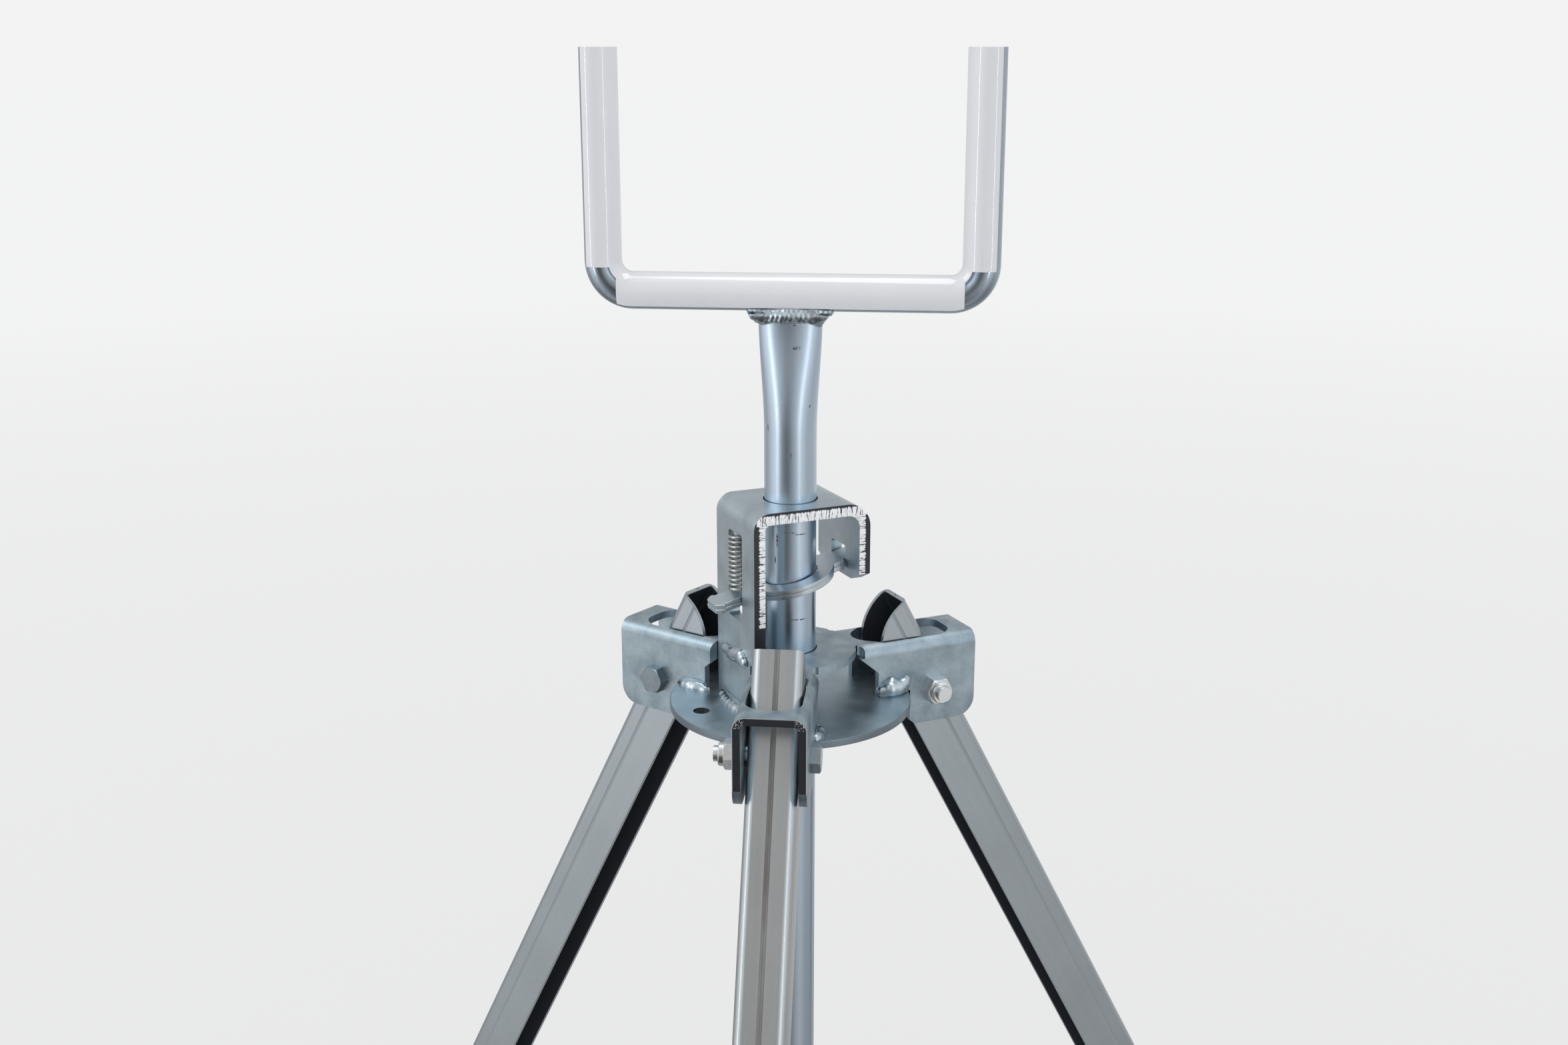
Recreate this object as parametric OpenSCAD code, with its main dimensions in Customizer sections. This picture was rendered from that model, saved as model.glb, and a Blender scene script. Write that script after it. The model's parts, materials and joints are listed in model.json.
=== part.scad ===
// Folding tripod support stand with a forked head for pipes and boards.
// The pole slides in the hub and two tilted plates lock it. Three channel legs
// fold down beside the pole. Z is up and the feet rest on z = 0.

/* [Stand] */
// Height of the leg pivots above the floor
pivot_h = 576; // [520:1:620]
// Angle of an open leg from the vertical, in degrees
leg_tilt = 28.2; // [24:0.1:32]
// Direction of the front leg, in degrees
front_dir = -90; // [-90:1:-90]

/* [Fork] */
// Outside diameter of the fork's bent tube
fork_d = 21.3; // [19:0.1:22]
// Wall of the fork's tube
fork_wall = 2.6; // [2:0.1:3.2]
// Outside width over both fork arms
fork_w = 260; // [240:1:300]
// Overall height of the fork
fork_h = 159.5; // [140:0.5:200]
// Radius of the fork's bends at the tube's centre
fork_bend_r = 20; // [16:0.5:26]
// Clear height from the top of the disc to the underside of the fork
fork_clear = 257.5; // [250:0.5:300]

/* [Liner] */
// Wall of the clip-on liner
liner_wall = 2.4; // [2:0.1:3]
// Angle of the open side of the liner, in degrees
liner_gap = 112; // [90:1:120]
// Distance from a bend's centre out to the notch in the liner's side walls
notch_side = 8.8; // [6:0.1:10]
// Distance from a bend's centre down to that notch
notch_low = 3.4; // [1:0.1:6]
// Radius round a bend's centre that the liner's inner strip keeps in the notch
strip_r = 13.5; // [12:0.1:15]
// Clearance between the liner and the tube
liner_play = 0.05; // [0.02:0.01:0.2]

/* [Pole] */
// Outside diameter of the pole
pole_d = 33.7; // [32:0.1:34]
// Wall of the pole
pole_wall = 3; // [2.5:0.1:3.6]
// Length of the pole
pole_l = 700; // [640:5:740]
// Width of the flattened top end
flat_w = 41; // [38:0.5:44]
// Depth of the flattened top end
flat_d = 20.5; // [18:0.5:24]
// Length over which the pole changes from flat to round
flare_l = 77; // [60:1:90]
// Gap between the pole's top end and the fork
pole_gap = 0.4; // [0.2:0.1:1]
// Fine step between the round tube and the flare
flare_step = 0.05; // [0.02:0.01:0.1]

/* [Fork weld] */
// Width of the weld where it meets the fork
fweld_w = 54; // [48:1:60]
// Height of the weld below the fork
fweld_h = 8; // [5:0.5:10]
// Distance that the weld reaches up the sides of the fork
fweld_up = 1; // [0.5:0.1:1.2]
// Distance below the fork where the weld is widest
fweld_mid = 2; // [1:0.5:4]
// Thickness of the weld's thin starting slices
fweld_slice = 0.5; // [0.2:0.1:1]

/* [Disc] */
// Diameter of the hub's disc
disc_d = 160; // [154:1:170]
// Thickness of the disc
disc_t = 5; // [4:0.5:6]
// Diameter of the small hole in the disc
disc_hole_d = 10.5; // [8:0.5:12]
// Distance of the small hole from the pole's axis
disc_hole_r = 63.5; // [60:0.5:66]
// Gap between an open leg and its stop edge on the disc
stop_gap = 0.25; // [0.2:0.05:1]

/* [Spider] */
// Thickness of the folded sheet
sheet_t = 5; // [4:0.5:5]
// Width over the two walls of an arm
arm_w = 45; // [43:0.5:48]
// Distance of an arm's outer end from the pole's axis
arm_r = 128; // [124:0.5:134]
// Outside radius of the folds
fold_r = 8; // [7:0.5:10]
// Height of the spider's top above the disc
spider_up = 35; // [32:0.5:38]
// Distance that the walls drop below the disc's top
wall_down = 25; // [22:0.5:28]
// Radius of the middle plate
middle_r = 43.5; // [42:0.5:48]
// Distance where the folds start
fold_start = 41; // [40:0.5:44]
// Radius of the relief cuts at the start of each fold
relief_r = 3.6; // [2:0.1:4.5]
// Distance of the walls' inner edge at the disc
wall_in_r = 54.5; // [52:0.5:58]
// Height above the disc where the walls' inner edge starts to slant
wall_kink = 15.5; // [12:0.5:20]
// Outer lower corner radius of the walls
wall_corner = 13; // [8:0.5:16]
// Inner lower corner radius of the walls
wall_heel = 6; // [4:0.5:8]
// Side gap between the disc's rim and a wall's step
rim_gap = 0.4; // [0.2:0.1:1]
// Inner end of the slot in an arm's top
slot_in = 46; // [45:0.5:48]
// Radius of the slot's inner end
slot_round = 14; // [12:0.5:14]
// Gap between the slot's inner end and the top of an open leg
slot_gap = 0.7; // [0.3:0.1:2]
// Outer end of the slot in an arm's top
slot_out = 114.5; // [114:0.5:118]
// Corner radius at the slot's outer end
slot_corner = 13; // [6:0.5:13]
// Diameter of the hole that the pole passes through
pole_hole_d = 35.6; // [35:0.1:36.5]
// Half width of the tongue that is welded into the lock bracket
tongue_half = 16; // [10:0.5:20]

/* [Lock bracket] */
// Direction of the bracket's long wall, in degrees
lock_dir = -150; // [-150:1:-150]
// Thickness of the bracket's plate
lock_t = 7.6; // [7:0.1:8]
// Width of the bracket
lock_w = 62; // [60:0.5:64]
// Distance of the long wall's outer face from the pole's axis
lock_wall_x = 38.8; // [38.5:0.1:40]
// Distance of the short tab's outer face from the pole's axis
lock_tab_x = 42.4; // [42:0.1:43]
// Height of the bracket's top above the disc
lock_up = 136.5; // [134:0.5:140]
// Outside radius of the bend above the long wall
lock_bend = 11; // [10:0.5:12]
// Outside radius of the bend above the tab
tab_bend = 16; // [11:0.5:17]
// Height of the tab's lower edge above the disc
tab_low = 83; // [80:0.5:84]
// Length of the chamfers on the tab's lower corners
tab_chamfer_l = 12; // [8:0.5:14]
// Height of the chamfers on the tab's lower corners
tab_chamfer_h = 6; // [3:0.5:10]
// Lower end of the slot in the long wall
lock_slot_low = 60; // [56:0.5:62]
// Upper end of the slot in the long wall
lock_slot_high = 118; // [116:0.5:120]
// Width of the slot in the long wall
lock_slot_w = 22; // [21:0.5:23]
// Lower edge of the hook hole in the tab
hook_low = 86; // [85:0.5:87]
// Upper edge of the hook hole in the tab
hook_high = 103; // [102:0.5:104]
// Width of the hook hole
hook_w = 21; // [20:0.5:22]
// Corner radius of the slot and of the hook hole
window_corner = 2.5; // [1:0.5:4]
// Height of the side notch that clears the spider's front fold
notch_up = 35.4; // [35.1:0.1:36]
// Width of that side notch
notch_w = 7.5; // [6:0.5:9]
// Diameter of the peg that holds the spring's top
peg_d = 7; // [6:0.5:8]
// Length of the peg
peg_l = 9; // [6:0.5:12]

/* [Lock plates] */
// Thickness of each lock plate
plate_t = 3; // [2.5:0.1:3]
// Tilt of the plates when they grip, in degrees
plate_tilt = 13; // [12:0.5:14]
// Radius of the ring around the pole
ring_r = 29; // [27:0.5:29.5]
// Diameter of the plates' hole
ring_hole_d = 36.7; // [36.4:0.1:37]
// Height above the disc of the hook point between the plates
hook_z = 91.9; // [91:0.1:93]
// Width of the plates' necks
neck_w = 18; // [16:0.5:18.5]
// Width of the shoulder beside the tab
shoulder_w = 24; // [23:0.5:26]
// Distance of the shoulder from the pole's axis
shoulder_x = 33.5; // [32:0.5:34]
// Distance of the hook end from the pole's axis
hook_end = 46; // [44:0.5:48]
// Width of the lever's head
head_w = 21; // [19:0.5:21]
// Start of the lever's head, measured from the pole's axis
head_in = 50; // [48:0.5:52]
// End of the lever's head, measured from the pole's axis
head_out = 55.5; // [55:0.5:62]
// Corner cut of the lever's head
head_cut = 3.5; // [2:0.5:5]

/* [Lock spring] */
// Outside diameter of the spring
spring_d = 14; // [12:0.5:14.5]
// Thickness of the spring's wire
wire_d = 1.8; // [1.4:0.1:2]
// Distance of the spring's axis from the pole's axis
spring_x = 36; // [35:0.1:37]
// Number of turns
turns = 11.5; // [8:0.5:13]
// Rings of points in each turn
turn_rings = 8; // [8:1:8]
// Sides of the wire
wire_sides = 6; // [6:1:6]
// Gap under the spring's lower end
spring_gap = 0.3; // [0.1:0.1:1]

/* [Legs] */
// Width of the leg's channel
leg_w = 32; // [30:0.5:33]
// Wall of the leg's channel
leg_wall = 3; // [2:0.1:3.2]
// Distance of the leg's outer face from the pivot
web_x = 13.6; // [12:0.1:15]
// Distance of the flanges' free edges from the pivot
edge_x = 22; // [20:0.1:23]
// Outside radius of the channel's corners
leg_corner = 6; // [4:0.5:7]
// Height above the pivot where the rounded top end starts
leg_top = 28; // [24:0.5:30]
// Distance between the leg's lower end and the sole
leg_end_up = 12; // [10:0.5:16]
// Radius of the rolled grooves
groove_r = 3; // [1.5:0.1:4]
// Depth of the rolled grooves
groove_depth = 0.3; // [0.2:0.1:1]

/* [Pivots] */
// Distance of the leg pivots from the pole's axis
pivot_r = 97; // [95:0.5:99]
// Height of the leg pivots below the disc's top
pivot_down = 1.5; // [0:0.5:3]
// Diameter of the pivot bolts
bolt_d = 10; // [10:1:10]
// Length of the pivot bolts under the head
bolt_l = 60; // [56:0.5:64]
// Width across the flats of heads and nuts
hex_w = 17; // [16:0.5:17]
// Height of the bolt heads
head_h = 6.4; // [6:0.1:7]
// Height of the turned corners on heads and nuts
hex_bevel = 0.8; // [0.4:0.1:1.2]
// Height of the nuts' six-sided part
nut_hex_h = 8.5; // [6:0.1:10]
// Whole height of the lock nuts
nut_h = 12; // [10.5:0.1:12.5]
// Diameter of the nuts' round collar
collar_d = 15.2; // [14:0.1:16]
// Radial gap around the bolts
bolt_play = 0.12; // [0.05:0.01:0.3]
// Outside diameter of the pivot sleeves
sleeve_d = 14; // [13:0.5:15]
// Radial running gap between sleeve and leg
sleeve_play = 0.08; // [0.03:0.01:0.1]
// End gap of a sleeve between the walls
sleeve_end_gap = 0.1; // [0.05:0.05:0.5]

/* [Feet] */
// Wall of the feet around the leg
foot_wall = 4; // [3:0.5:6]
// Height that a foot covers along the leg
foot_l = 44; // [36:1:60]
// Corner radius of the feet
foot_corner = 6; // [4:0.5:8]
// Width of the collar round a foot's top
foot_rim = 1.5; // [1:0.5:3]
// Height of that collar
foot_rim_h = 6; // [4:0.5:10]

/* [Pole stop] */
// Diameter of the cross pin in the pole's lower end
pin_d = 6; // [5:0.5:8]
// Length of the cross pin
pin_l = 46; // [42:1:50]
// Height of the cross pin above the pole's lower end
pin_up = 14; // [12:0.5:20]
// Diameter of the stop washer
washer_d = 50; // [46:1:56]
// Thickness of the stop washer
washer_t = 3; // [2:0.5:4]
// Radial running gap between the washer and the pole
washer_play = 0.08; // [0.03:0.01:0.1]
// Depth of the plug in the pole's lower end
plug_deep = 6; // [4:0.5:8]
// Thickness of the plug's flange
plug_flange = 3; // [2:0.5:5]

/* [Welds] */
// Radius of the weld beads
bead_r = 5; // [4:0.5:6]
// Inner end of the beads beside the arm walls
bead_in = 60; // [58:0.5:64]
// Outer end of the beads beside the arm walls
bead_out = 72; // [68:0.5:73]
// Length of the long bead between the bracket and the disc
bead_l = 38; // [30:1:44]
// Radius of the plug weld on the bracket's long wall
plug_weld_r = 4; // [3:0.5:5]

/* [Hidden] */
$fn = 64;
// Overrun of a cutting tool past the face it cuts
over = 1;
// Joint overlap inside one solid
merge = 0.01;
// Directions of the front, right and left legs
leg_dirs = [front_dir, front_dir + 120, front_dir + 240];
disc_z = pivot_h + pivot_down;
disc_r = disc_d / 2;
arm_half = arm_w / 2;
arm_inner = arm_half - sheet_t;
fold_c = arm_half - fold_r;
fold_z = spider_up - fold_r;
fold_in_r = fold_r - sheet_t;
leg_depth = web_x + edge_x;
leg_half = leg_w / 2;
hinge_r = sleeve_d / 2 + sleeve_play;
fork_r = fork_d / 2;
// The weld on the fork stays between the liner's lips
fweld_deep = 2 * fork_r * cos(liner_gap / 2);
fork_x = fork_w / 2 - fork_r;
fork_z = disc_z + fork_clear + fork_r;
fork_top = disc_z + fork_clear + fork_h;
bend_z = fork_z + fork_bend_r;
pole_top = disc_z + fork_clear - pole_gap;
pole_low = pole_top - pole_l;
pole_r = pole_d / 2;
pin_z = pole_low + pin_up;
washer_z = pin_z + pin_d / 2;
// The open leg's inner face crosses the disc's top here; the stop edge is just inside it
stop_along = (pivot_down + edge_x * sin(leg_tilt)) / cos(leg_tilt);
stop_r = pivot_r - edge_x * cos(leg_tilt) - stop_along * sin(leg_tilt) - stop_gap;
// The rounded top of an open leg reaches in as far as this
leg_top_in = pivot_r + web_x * cos(leg_tilt) - leg_top * sin(leg_tilt) - leg_depth;
// Length of the leg below its pivot, and the outermost point of a foot on the floor
leg_floor = (pivot_h - edge_x * sin(leg_tilt)) / cos(leg_tilt);
leg_low = leg_floor - leg_end_up;
foot_x = web_x + foot_wall;
foot_half = leg_half + foot_wall;
foot_tip = pivot_r + foot_x * cos(leg_tilt) + (pivot_h + foot_x * sin(leg_tilt)) * tan(leg_tilt);
// The feet's bounding rectangle is centred on the origin, so the pole stands a little behind it
foot_side_r = foot_tip - foot_corner / cos(leg_tilt);
corner_reach = foot_corner * norm([cos(60) / cos(leg_tilt), sin(60)]);
foot_back = foot_side_r * cos(60) + (foot_half - foot_corner) * sin(60) + corner_reach;
pole_y = (foot_tip - foot_back) / 2;
lock_half = lock_w / 2;
lock_wall_in = lock_wall_x - lock_t;
lock_tab_in = lock_tab_x - lock_t;
hook_x = -(lock_tab_in + lock_t / 2);
lever_slope = tan(plate_tilt);
spring_r = (spring_d - wire_d) / 2;
// Top face of the upper plate under the spring
spring_low = hook_z + plate_t / cos(plate_tilt) - (spring_x - hook_x - spring_d / 2) * lever_slope;
spring_z0 = spring_low + wire_d / 2 + spring_gap;
spring_z1 = lock_slot_high - wire_d / 2 - spring_gap;

// Colours
zinc = [0.62, 0.67, 0.70];
bright_zinc = [0.72, 0.76, 0.78];
blue_zinc = [0.48, 0.55, 0.64];
leg_grey = [0.66, 0.66, 0.67];
weld_silver = [0.75, 0.76, 0.76];
white_plastic = [0.93, 0.93, 0.94];
black_rubber = [0.06, 0.06, 0.07];

// Frames
module at_pole() {
    translate([0, pole_y, 0]) children();
}

module at_hub() {
    at_pole() translate([0, 0, disc_z]) children();
}

// An arm's frame: X runs outward along the arm and Z is up from the disc's top
module at_arm(dir) {
    at_hub() rotate([0, 0, dir]) children();
}

// A leg's frame: the pivot is the origin and the leg runs down along -Z
module at_leg(dir) {
    at_arm(dir) translate([pivot_r, 0, -pivot_down]) rotate([0, -leg_tilt, 0]) children();
}

// The lock's frame: X runs from the pole to the long wall
module at_lock() {
    at_hub() rotate([0, 0, lock_dir]) children();
}

// The tilted frame of the lock plates: the hook point is the origin and X runs to the lever
module at_plates() {
    at_lock() translate([hook_x, 0, hook_z]) rotate([0, plate_tilt, 0]) children();
}

// Shared shapes
module tube(r, wall, h) {
    difference() {
        cylinder(r = r, h = h);
        translate([0, 0, -over]) cylinder(r = r - wall, h = h + 2 * over);
    }
}

// A flat outline from x0 to x1 with its own corner radius at each end
module stadium(x0, x1, half, r0, r1) {
    union() {
        translate([x0 + r0, -half]) square([x1 - x0 - r0 - r1, 2 * half]);
        translate([x0, -half + r0]) square([r0 + merge, 2 * (half - r0) + merge]);
        translate([x1 - r1 - merge, -half + r1]) square([r1 + merge, 2 * (half - r1)]);
        for (side = [-1, 1]) {
            translate([x0 + r0, side * (half - r0)]) circle(r = r0);
            translate([x1 - r1, side * (half - r1)]) circle(r = r1);
        }
    }
}

// A block on the Y and Z axes with rounded corners, run along X, for windows in the bracket
module window(w, low, high, x0, x1) {
    r = window_corner;
    translate([x0, 0, 0]) rotate([90, 0, 90]) linear_extrude(x1 - x0) union() {
        translate([-w / 2, low + r]) square([w, high - low - 2 * r]);
        translate([-w / 2 + r, low]) square([w - 2 * r, high - low]);
        for (side = [-1, 1], z = [low + r, high - r])
            translate([side * (w / 2 - r), z]) circle(r = r);
    }
}

// A six-sided body along Z with its corners turned off at the top
module hex_body(w, h, bevel) {
    intersection() {
        cylinder(r = w / 2 / cos(30), h = h, $fn = 6);
        union() {
            cylinder(r = w, h = h - bevel);
            translate([0, 0, h - bevel])
                cylinder(r1 = w / 2 / cos(30), r2 = w / 2 / cos(30) - bevel * tan(60), h = bevel);
        }
    }
}

// Hub
module base_disc() {
    color(zinc) at_hub() difference() {
        translate([0, 0, -disc_t]) cylinder(r = disc_r, h = disc_t);
        translate([0, 0, -disc_t - over]) cylinder(d = pole_hole_d, h = disc_t + 2 * over);
        rotate([0, 0, lock_dir]) translate([disc_hole_r, 0, -disc_t - over])
            cylinder(d = disc_hole_d, h = disc_t + 2 * over);
        for (dir = leg_dirs)
            rotate([0, 0, dir]) translate([stop_r, -arm_inner, -disc_t - over])
                cube([disc_r, 2 * arm_inner, disc_t + 2 * over]);
    }
}

// Side outline of an arm's wall, X outward and Y up
module wall_outline() {
    step_r = sqrt(disc_r * disc_r - arm_inner * arm_inner) + rim_gap;
    corner_x = arm_r - wall_corner;
    corner_z = wall_corner - wall_down;
    heel_x = step_r + wall_heel;
    heel_z = wall_heel - wall_down;
    union() {
        polygon([[fold_start, fold_z], [wall_in_r, wall_kink], [wall_in_r, 0], [step_r, 0],
            [step_r, heel_z], [heel_x, heel_z], [heel_x, -wall_down], [corner_x, -wall_down],
            [corner_x, corner_z], [arm_r, corner_z], [arm_r, fold_z]]);
        translate([corner_x, corner_z]) circle(r = wall_corner);
        translate([heel_x, heel_z]) circle(r = wall_heel);
    }
}

// The flat top of all three arms with the hole for the pole
module spider_top() {
    difference() {
        union() {
            circle(r = middle_r);
            for (dir = leg_dirs) rotate(dir) translate([0, -fold_c]) square([arm_r, 2 * fold_c]);
        }
        circle(d = pole_hole_d);
    }
}

// Both folds and both walls of one arm
module spider_arm() {
    run = arm_r - fold_start;
    union() {
        for (side = [0, 1]) mirror([0, side, 0]) {
            translate([fold_start, fold_c, fold_z]) rotate([90, 0, 90]) linear_extrude(run)
                intersection() {
                    difference() {
                        circle(r = fold_r);
                        circle(r = fold_in_r);
                    }
                    square(fold_r + over);
                }
            translate([0, arm_half, 0]) rotate([90, 0, 0]) linear_extrude(sheet_t) wall_outline();
        }
    }
}

// Outline of the slot in an arm's top. Its round inner end widens along two tangents, so
// that it is at its full width before the leg's top begins.
module arm_slot() {
    round_x = slot_in + slot_round;
    wide_x = leg_top_in - slot_gap;
    corner_x = slot_out - slot_corner;
    to_corner = atan2(arm_inner, wide_x - round_x);
    touch = to_corner + acos(slot_round / norm([arm_inner, wide_x - round_x]));
    touch_x = round_x + slot_round * cos(touch);
    touch_y = slot_round * sin(touch);
    union() {
        intersection() {
            translate([round_x, 0]) circle(r = slot_round);
            translate([slot_in - over, -touch_y]) square([touch_x - slot_in + over, 2 * touch_y]);
        }
        polygon([[touch_x, -touch_y], [wide_x, -arm_inner], [corner_x, -arm_inner],
            [corner_x, arm_inner], [wide_x, arm_inner], [touch_x, touch_y]]);
        translate([wide_x, slot_corner - arm_inner])
            square([slot_out - wide_x, 2 * (arm_inner - slot_corner)]);
        for (side = [-1, 1]) translate([corner_x, side * (arm_inner - slot_corner)]) circle(r = slot_corner);
    }
}

module spider() {
    color(bright_zinc) at_hub() difference() {
        union() {
            translate([0, 0, spider_up - sheet_t]) linear_extrude(sheet_t) spider_top();
            for (dir = leg_dirs) rotate([0, 0, dir]) spider_arm();
        }
        // The lock bracket's long wall stands here, and only a tongue reaches into it
        rotate([0, 0, lock_dir]) for (side = [-1, 1])
            translate([lock_wall_in, side > 0 ? tongue_half : -lock_half - over, wall_kink])
                cube([middle_r, lock_half + over - tongue_half, spider_up]);
        rotate([0, 0, lock_dir]) translate([lock_wall_x, -lock_half - over, wall_kink])
            cube([middle_r, 2 * (lock_half + over), spider_up]);
        for (dir = leg_dirs) rotate([0, 0, dir]) {
            translate([0, 0, fold_z]) linear_extrude(fold_r + over) arm_slot();
            for (side = [-1, 1])
                translate([fold_start, side * (arm_half - relief_r / 2), fold_z])
                    cylinder(r = relief_r, h = fold_r + over);
            translate([pivot_r, arm_half + over, -pivot_down]) rotate([90, 0, 0])
                cylinder(r = bolt_d / 2 + bolt_play, h = arm_w + 2 * over);
        }
    }
}

// A straight bead with round ends along X, from x0 to x1
module bead(x0, x1, r) {
    translate([x0, 0, 0]) rotate([0, 90, 0]) cylinder(r = r, h = x1 - x0);
    translate([x0, 0, 0]) sphere(r = r);
    translate([x1, 0, 0]) sphere(r = r);
}

module hub_welds() {
    color(weld_silver) at_hub() union() {
        for (dir = leg_dirs) rotate([0, 0, dir])
            for (side = [0, 1]) mirror([0, side, 0]) intersection() {
                translate([0, arm_half, 0]) bead(bead_in, bead_out, bead_r);
                translate([0, arm_half, 0]) cube([arm_r, arm_half, spider_up]);
            }
        rotate([0, 0, lock_dir]) {
            intersection() {
                translate([lock_wall_x, -bead_l / 2, 0]) rotate([0, 0, 90]) bead(0, bead_l, bead_r);
                translate([lock_wall_x, -lock_half, 0]) cube([disc_r, lock_w, spider_up]);
            }
            intersection() {
                translate([lock_wall_x, -tongue_half, spider_up]) rotate([0, 0, 90])
                    bead(0, 2 * tongue_half, plug_weld_r);
                translate([lock_wall_x, -lock_half, 0]) cube([disc_r, lock_w, 2 * spider_up]);
            }
        }
    }
}

// Side outline of the lock bracket, X across and Y up
module lock_outline() {
    top_in = lock_up - lock_t;
    union() {
        translate([lock_wall_in, 0]) square([lock_t, lock_up - lock_bend]);
        translate([-lock_tab_x, tab_low]) square([lock_t, lock_up - tab_bend - tab_low]);
        translate([tab_bend - lock_tab_x, top_in])
            square([lock_tab_x + lock_wall_x - lock_bend - tab_bend, lock_t]);
        for (side = [0, 1]) {
            corner = side == 0 ? lock_wall_x : lock_tab_x;
            bend = side == 0 ? lock_bend : tab_bend;
            mirror([side, 0]) translate([corner - bend, lock_up - bend]) intersection() {
                difference() {
                    circle(r = bend);
                    circle(r = bend - lock_t);
                }
                square(bend + over);
            }
        }
    }
}

module lock_bracket() {
    color(bright_zinc) at_lock() union() {
        difference() {
            translate([0, lock_half, 0]) rotate([90, 0, 0]) linear_extrude(lock_w) lock_outline();
            translate([0, 0, tab_low]) cylinder(d = pole_hole_d, h = lock_up);
            window(lock_slot_w, lock_slot_low, lock_slot_high, 0, lock_wall_x + over);
            window(hook_w, hook_low, hook_high, -lock_tab_x - over, 0);
            // The spider's tongue is welded into this slot
            translate([0, -tongue_half, spider_up - sheet_t])
                cube([lock_wall_x + over, 2 * tongue_half, sheet_t]);
            translate([0, lock_half - notch_w, -over])
                cube([lock_wall_x + over, notch_w + over, notch_up + over]);
            // Chamfers on the tab's two lower corners
            for (side = [0, 1]) mirror([0, side, 0])
                translate([-lock_tab_x - over, 0, 0]) rotate([90, 0, 90]) linear_extrude(lock_tab_x)
                    polygon([[lock_half - tab_chamfer_l, tab_low - over],
                        [lock_half - tab_chamfer_l, tab_low], [lock_half, tab_low + tab_chamfer_h],
                        [lock_half + over, tab_low + tab_chamfer_h], [lock_half + over, tab_low - over]]);
        }
        // Peg that keeps the spring's top in place
        translate([spring_x, 0, lock_slot_high - peg_l]) cylinder(d = peg_d, h = peg_l + merge);
        translate([spring_x, 0, lock_slot_high - peg_l]) sphere(d = peg_d);
    }
}

// Outline of a lock plate in its own plane. ring_x is the pole's place on it.
module plate_outline(ring_x) {
    to_hook = ring_x - hook_end / cos(plate_tilt);
    to_shoulder = ring_x - shoulder_x / cos(plate_tilt);
    to_head = ring_x + head_in / cos(plate_tilt);
    to_end = ring_x + head_out / cos(plate_tilt);
    difference() {
        union() {
            translate([ring_x, 0]) circle(r = ring_r);
            translate([to_hook, -neck_w / 2]) square([to_end - to_hook - head_cut, neck_w]);
            translate([to_shoulder, -shoulder_w / 2]) square([ring_x - to_shoulder, shoulder_w]);
            polygon([[to_head, -head_w / 2], [to_end - head_cut, -head_w / 2],
                [to_end, -head_w / 2 + head_cut], [to_end, head_w / 2 - head_cut],
                [to_end - head_cut, head_w / 2], [to_head, head_w / 2]]);
        }
        translate([ring_x, 0]) circle(d = ring_hole_d);
    }
}

// A lock plate whose lower face is at height low in the tilted frame
module lock_plate(low) {
    // The hole is centred on the pole at the plate's own height
    ring_x = -hook_x / cos(plate_tilt) - (low + plate_t / 2) * lever_slope;
    at_plates() translate([0, 0, low]) linear_extrude(plate_t) plate_outline(ring_x);
}

module lock_plate_upper() {
    color(bright_zinc) lock_plate(0);
}

module lock_plate_lower() {
    color(zinc) lock_plate(-plate_t);
}

// Points of one ring of wire at angle a along the spring
spring_steps = round(turns * turn_rings);
function spring_centre(i) = let (a = 360 * i / turn_rings, share = i / spring_steps)
    [spring_r * cos(a), spring_r * sin(a), spring_z0 + (spring_z1 - spring_z0) * share];
function spring_ring(i) = let (a = 360 * i / turn_rings, c = spring_centre(i))
    [for (k = [0 : wire_sides - 1]) let (b = 360 * k / wire_sides)
        c + wire_d / 2 * [cos(b) * cos(a), cos(b) * sin(a), sin(b)]];
spring_points = [for (i = [0 : spring_steps]) each spring_ring(i)];
spring_sides = [for (i = [0 : spring_steps - 1], k = [0 : wire_sides - 1])
    let (a = i * wire_sides + k, b = i * wire_sides + (k + 1) % wire_sides)
    each [[a, a + wire_sides, b + wire_sides], [a, b + wire_sides, b]]];
spring_start = [for (k = [1 : wire_sides - 2]) [0, k, k + 1]];
spring_last = spring_steps * wire_sides;
spring_end = [for (k = [1 : wire_sides - 2]) [spring_last, spring_last + k + 1, spring_last + k]];
// Least distance between the wire's middle points one turn apart, less the wire's thickness
spring_least = min([for (i = [0 : spring_steps - turn_rings], j = [-1 : 1])
    let (k = min(i + turn_rings + j, spring_steps))
    norm(spring_centre(k) - spring_centre(i)) - wire_d]);
echo(spring_least_gap = spring_least, pole_y = pole_y, disc_z = disc_z, fork_top = fork_top,
    pole_low = pole_low, stop_r = stop_r, foot_tip = foot_tip, washer_z = washer_z);

module lock_spring() {
    color(bright_zinc) at_lock() translate([spring_x, 0, 0])
        polyhedron(points = spring_points, faces = concat(spring_sides, spring_start, spring_end));
}

// Pole and fork
// A thin slice of the pole's flattened top at height z
module flat_slice(z, w, d) {
    translate([0, 0, z]) linear_extrude(merge) union() {
        square([w - d, d], center = true);
        for (side = [-1, 1]) translate([side * (w - d) / 2, 0]) circle(d = d);
    }
}

module flare(w, d, r, low_end, high_end) {
    hull() {
        translate([0, 0, low_end]) cylinder(r = r, h = merge);
        flat_slice(high_end, w, d);
    }
}

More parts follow.
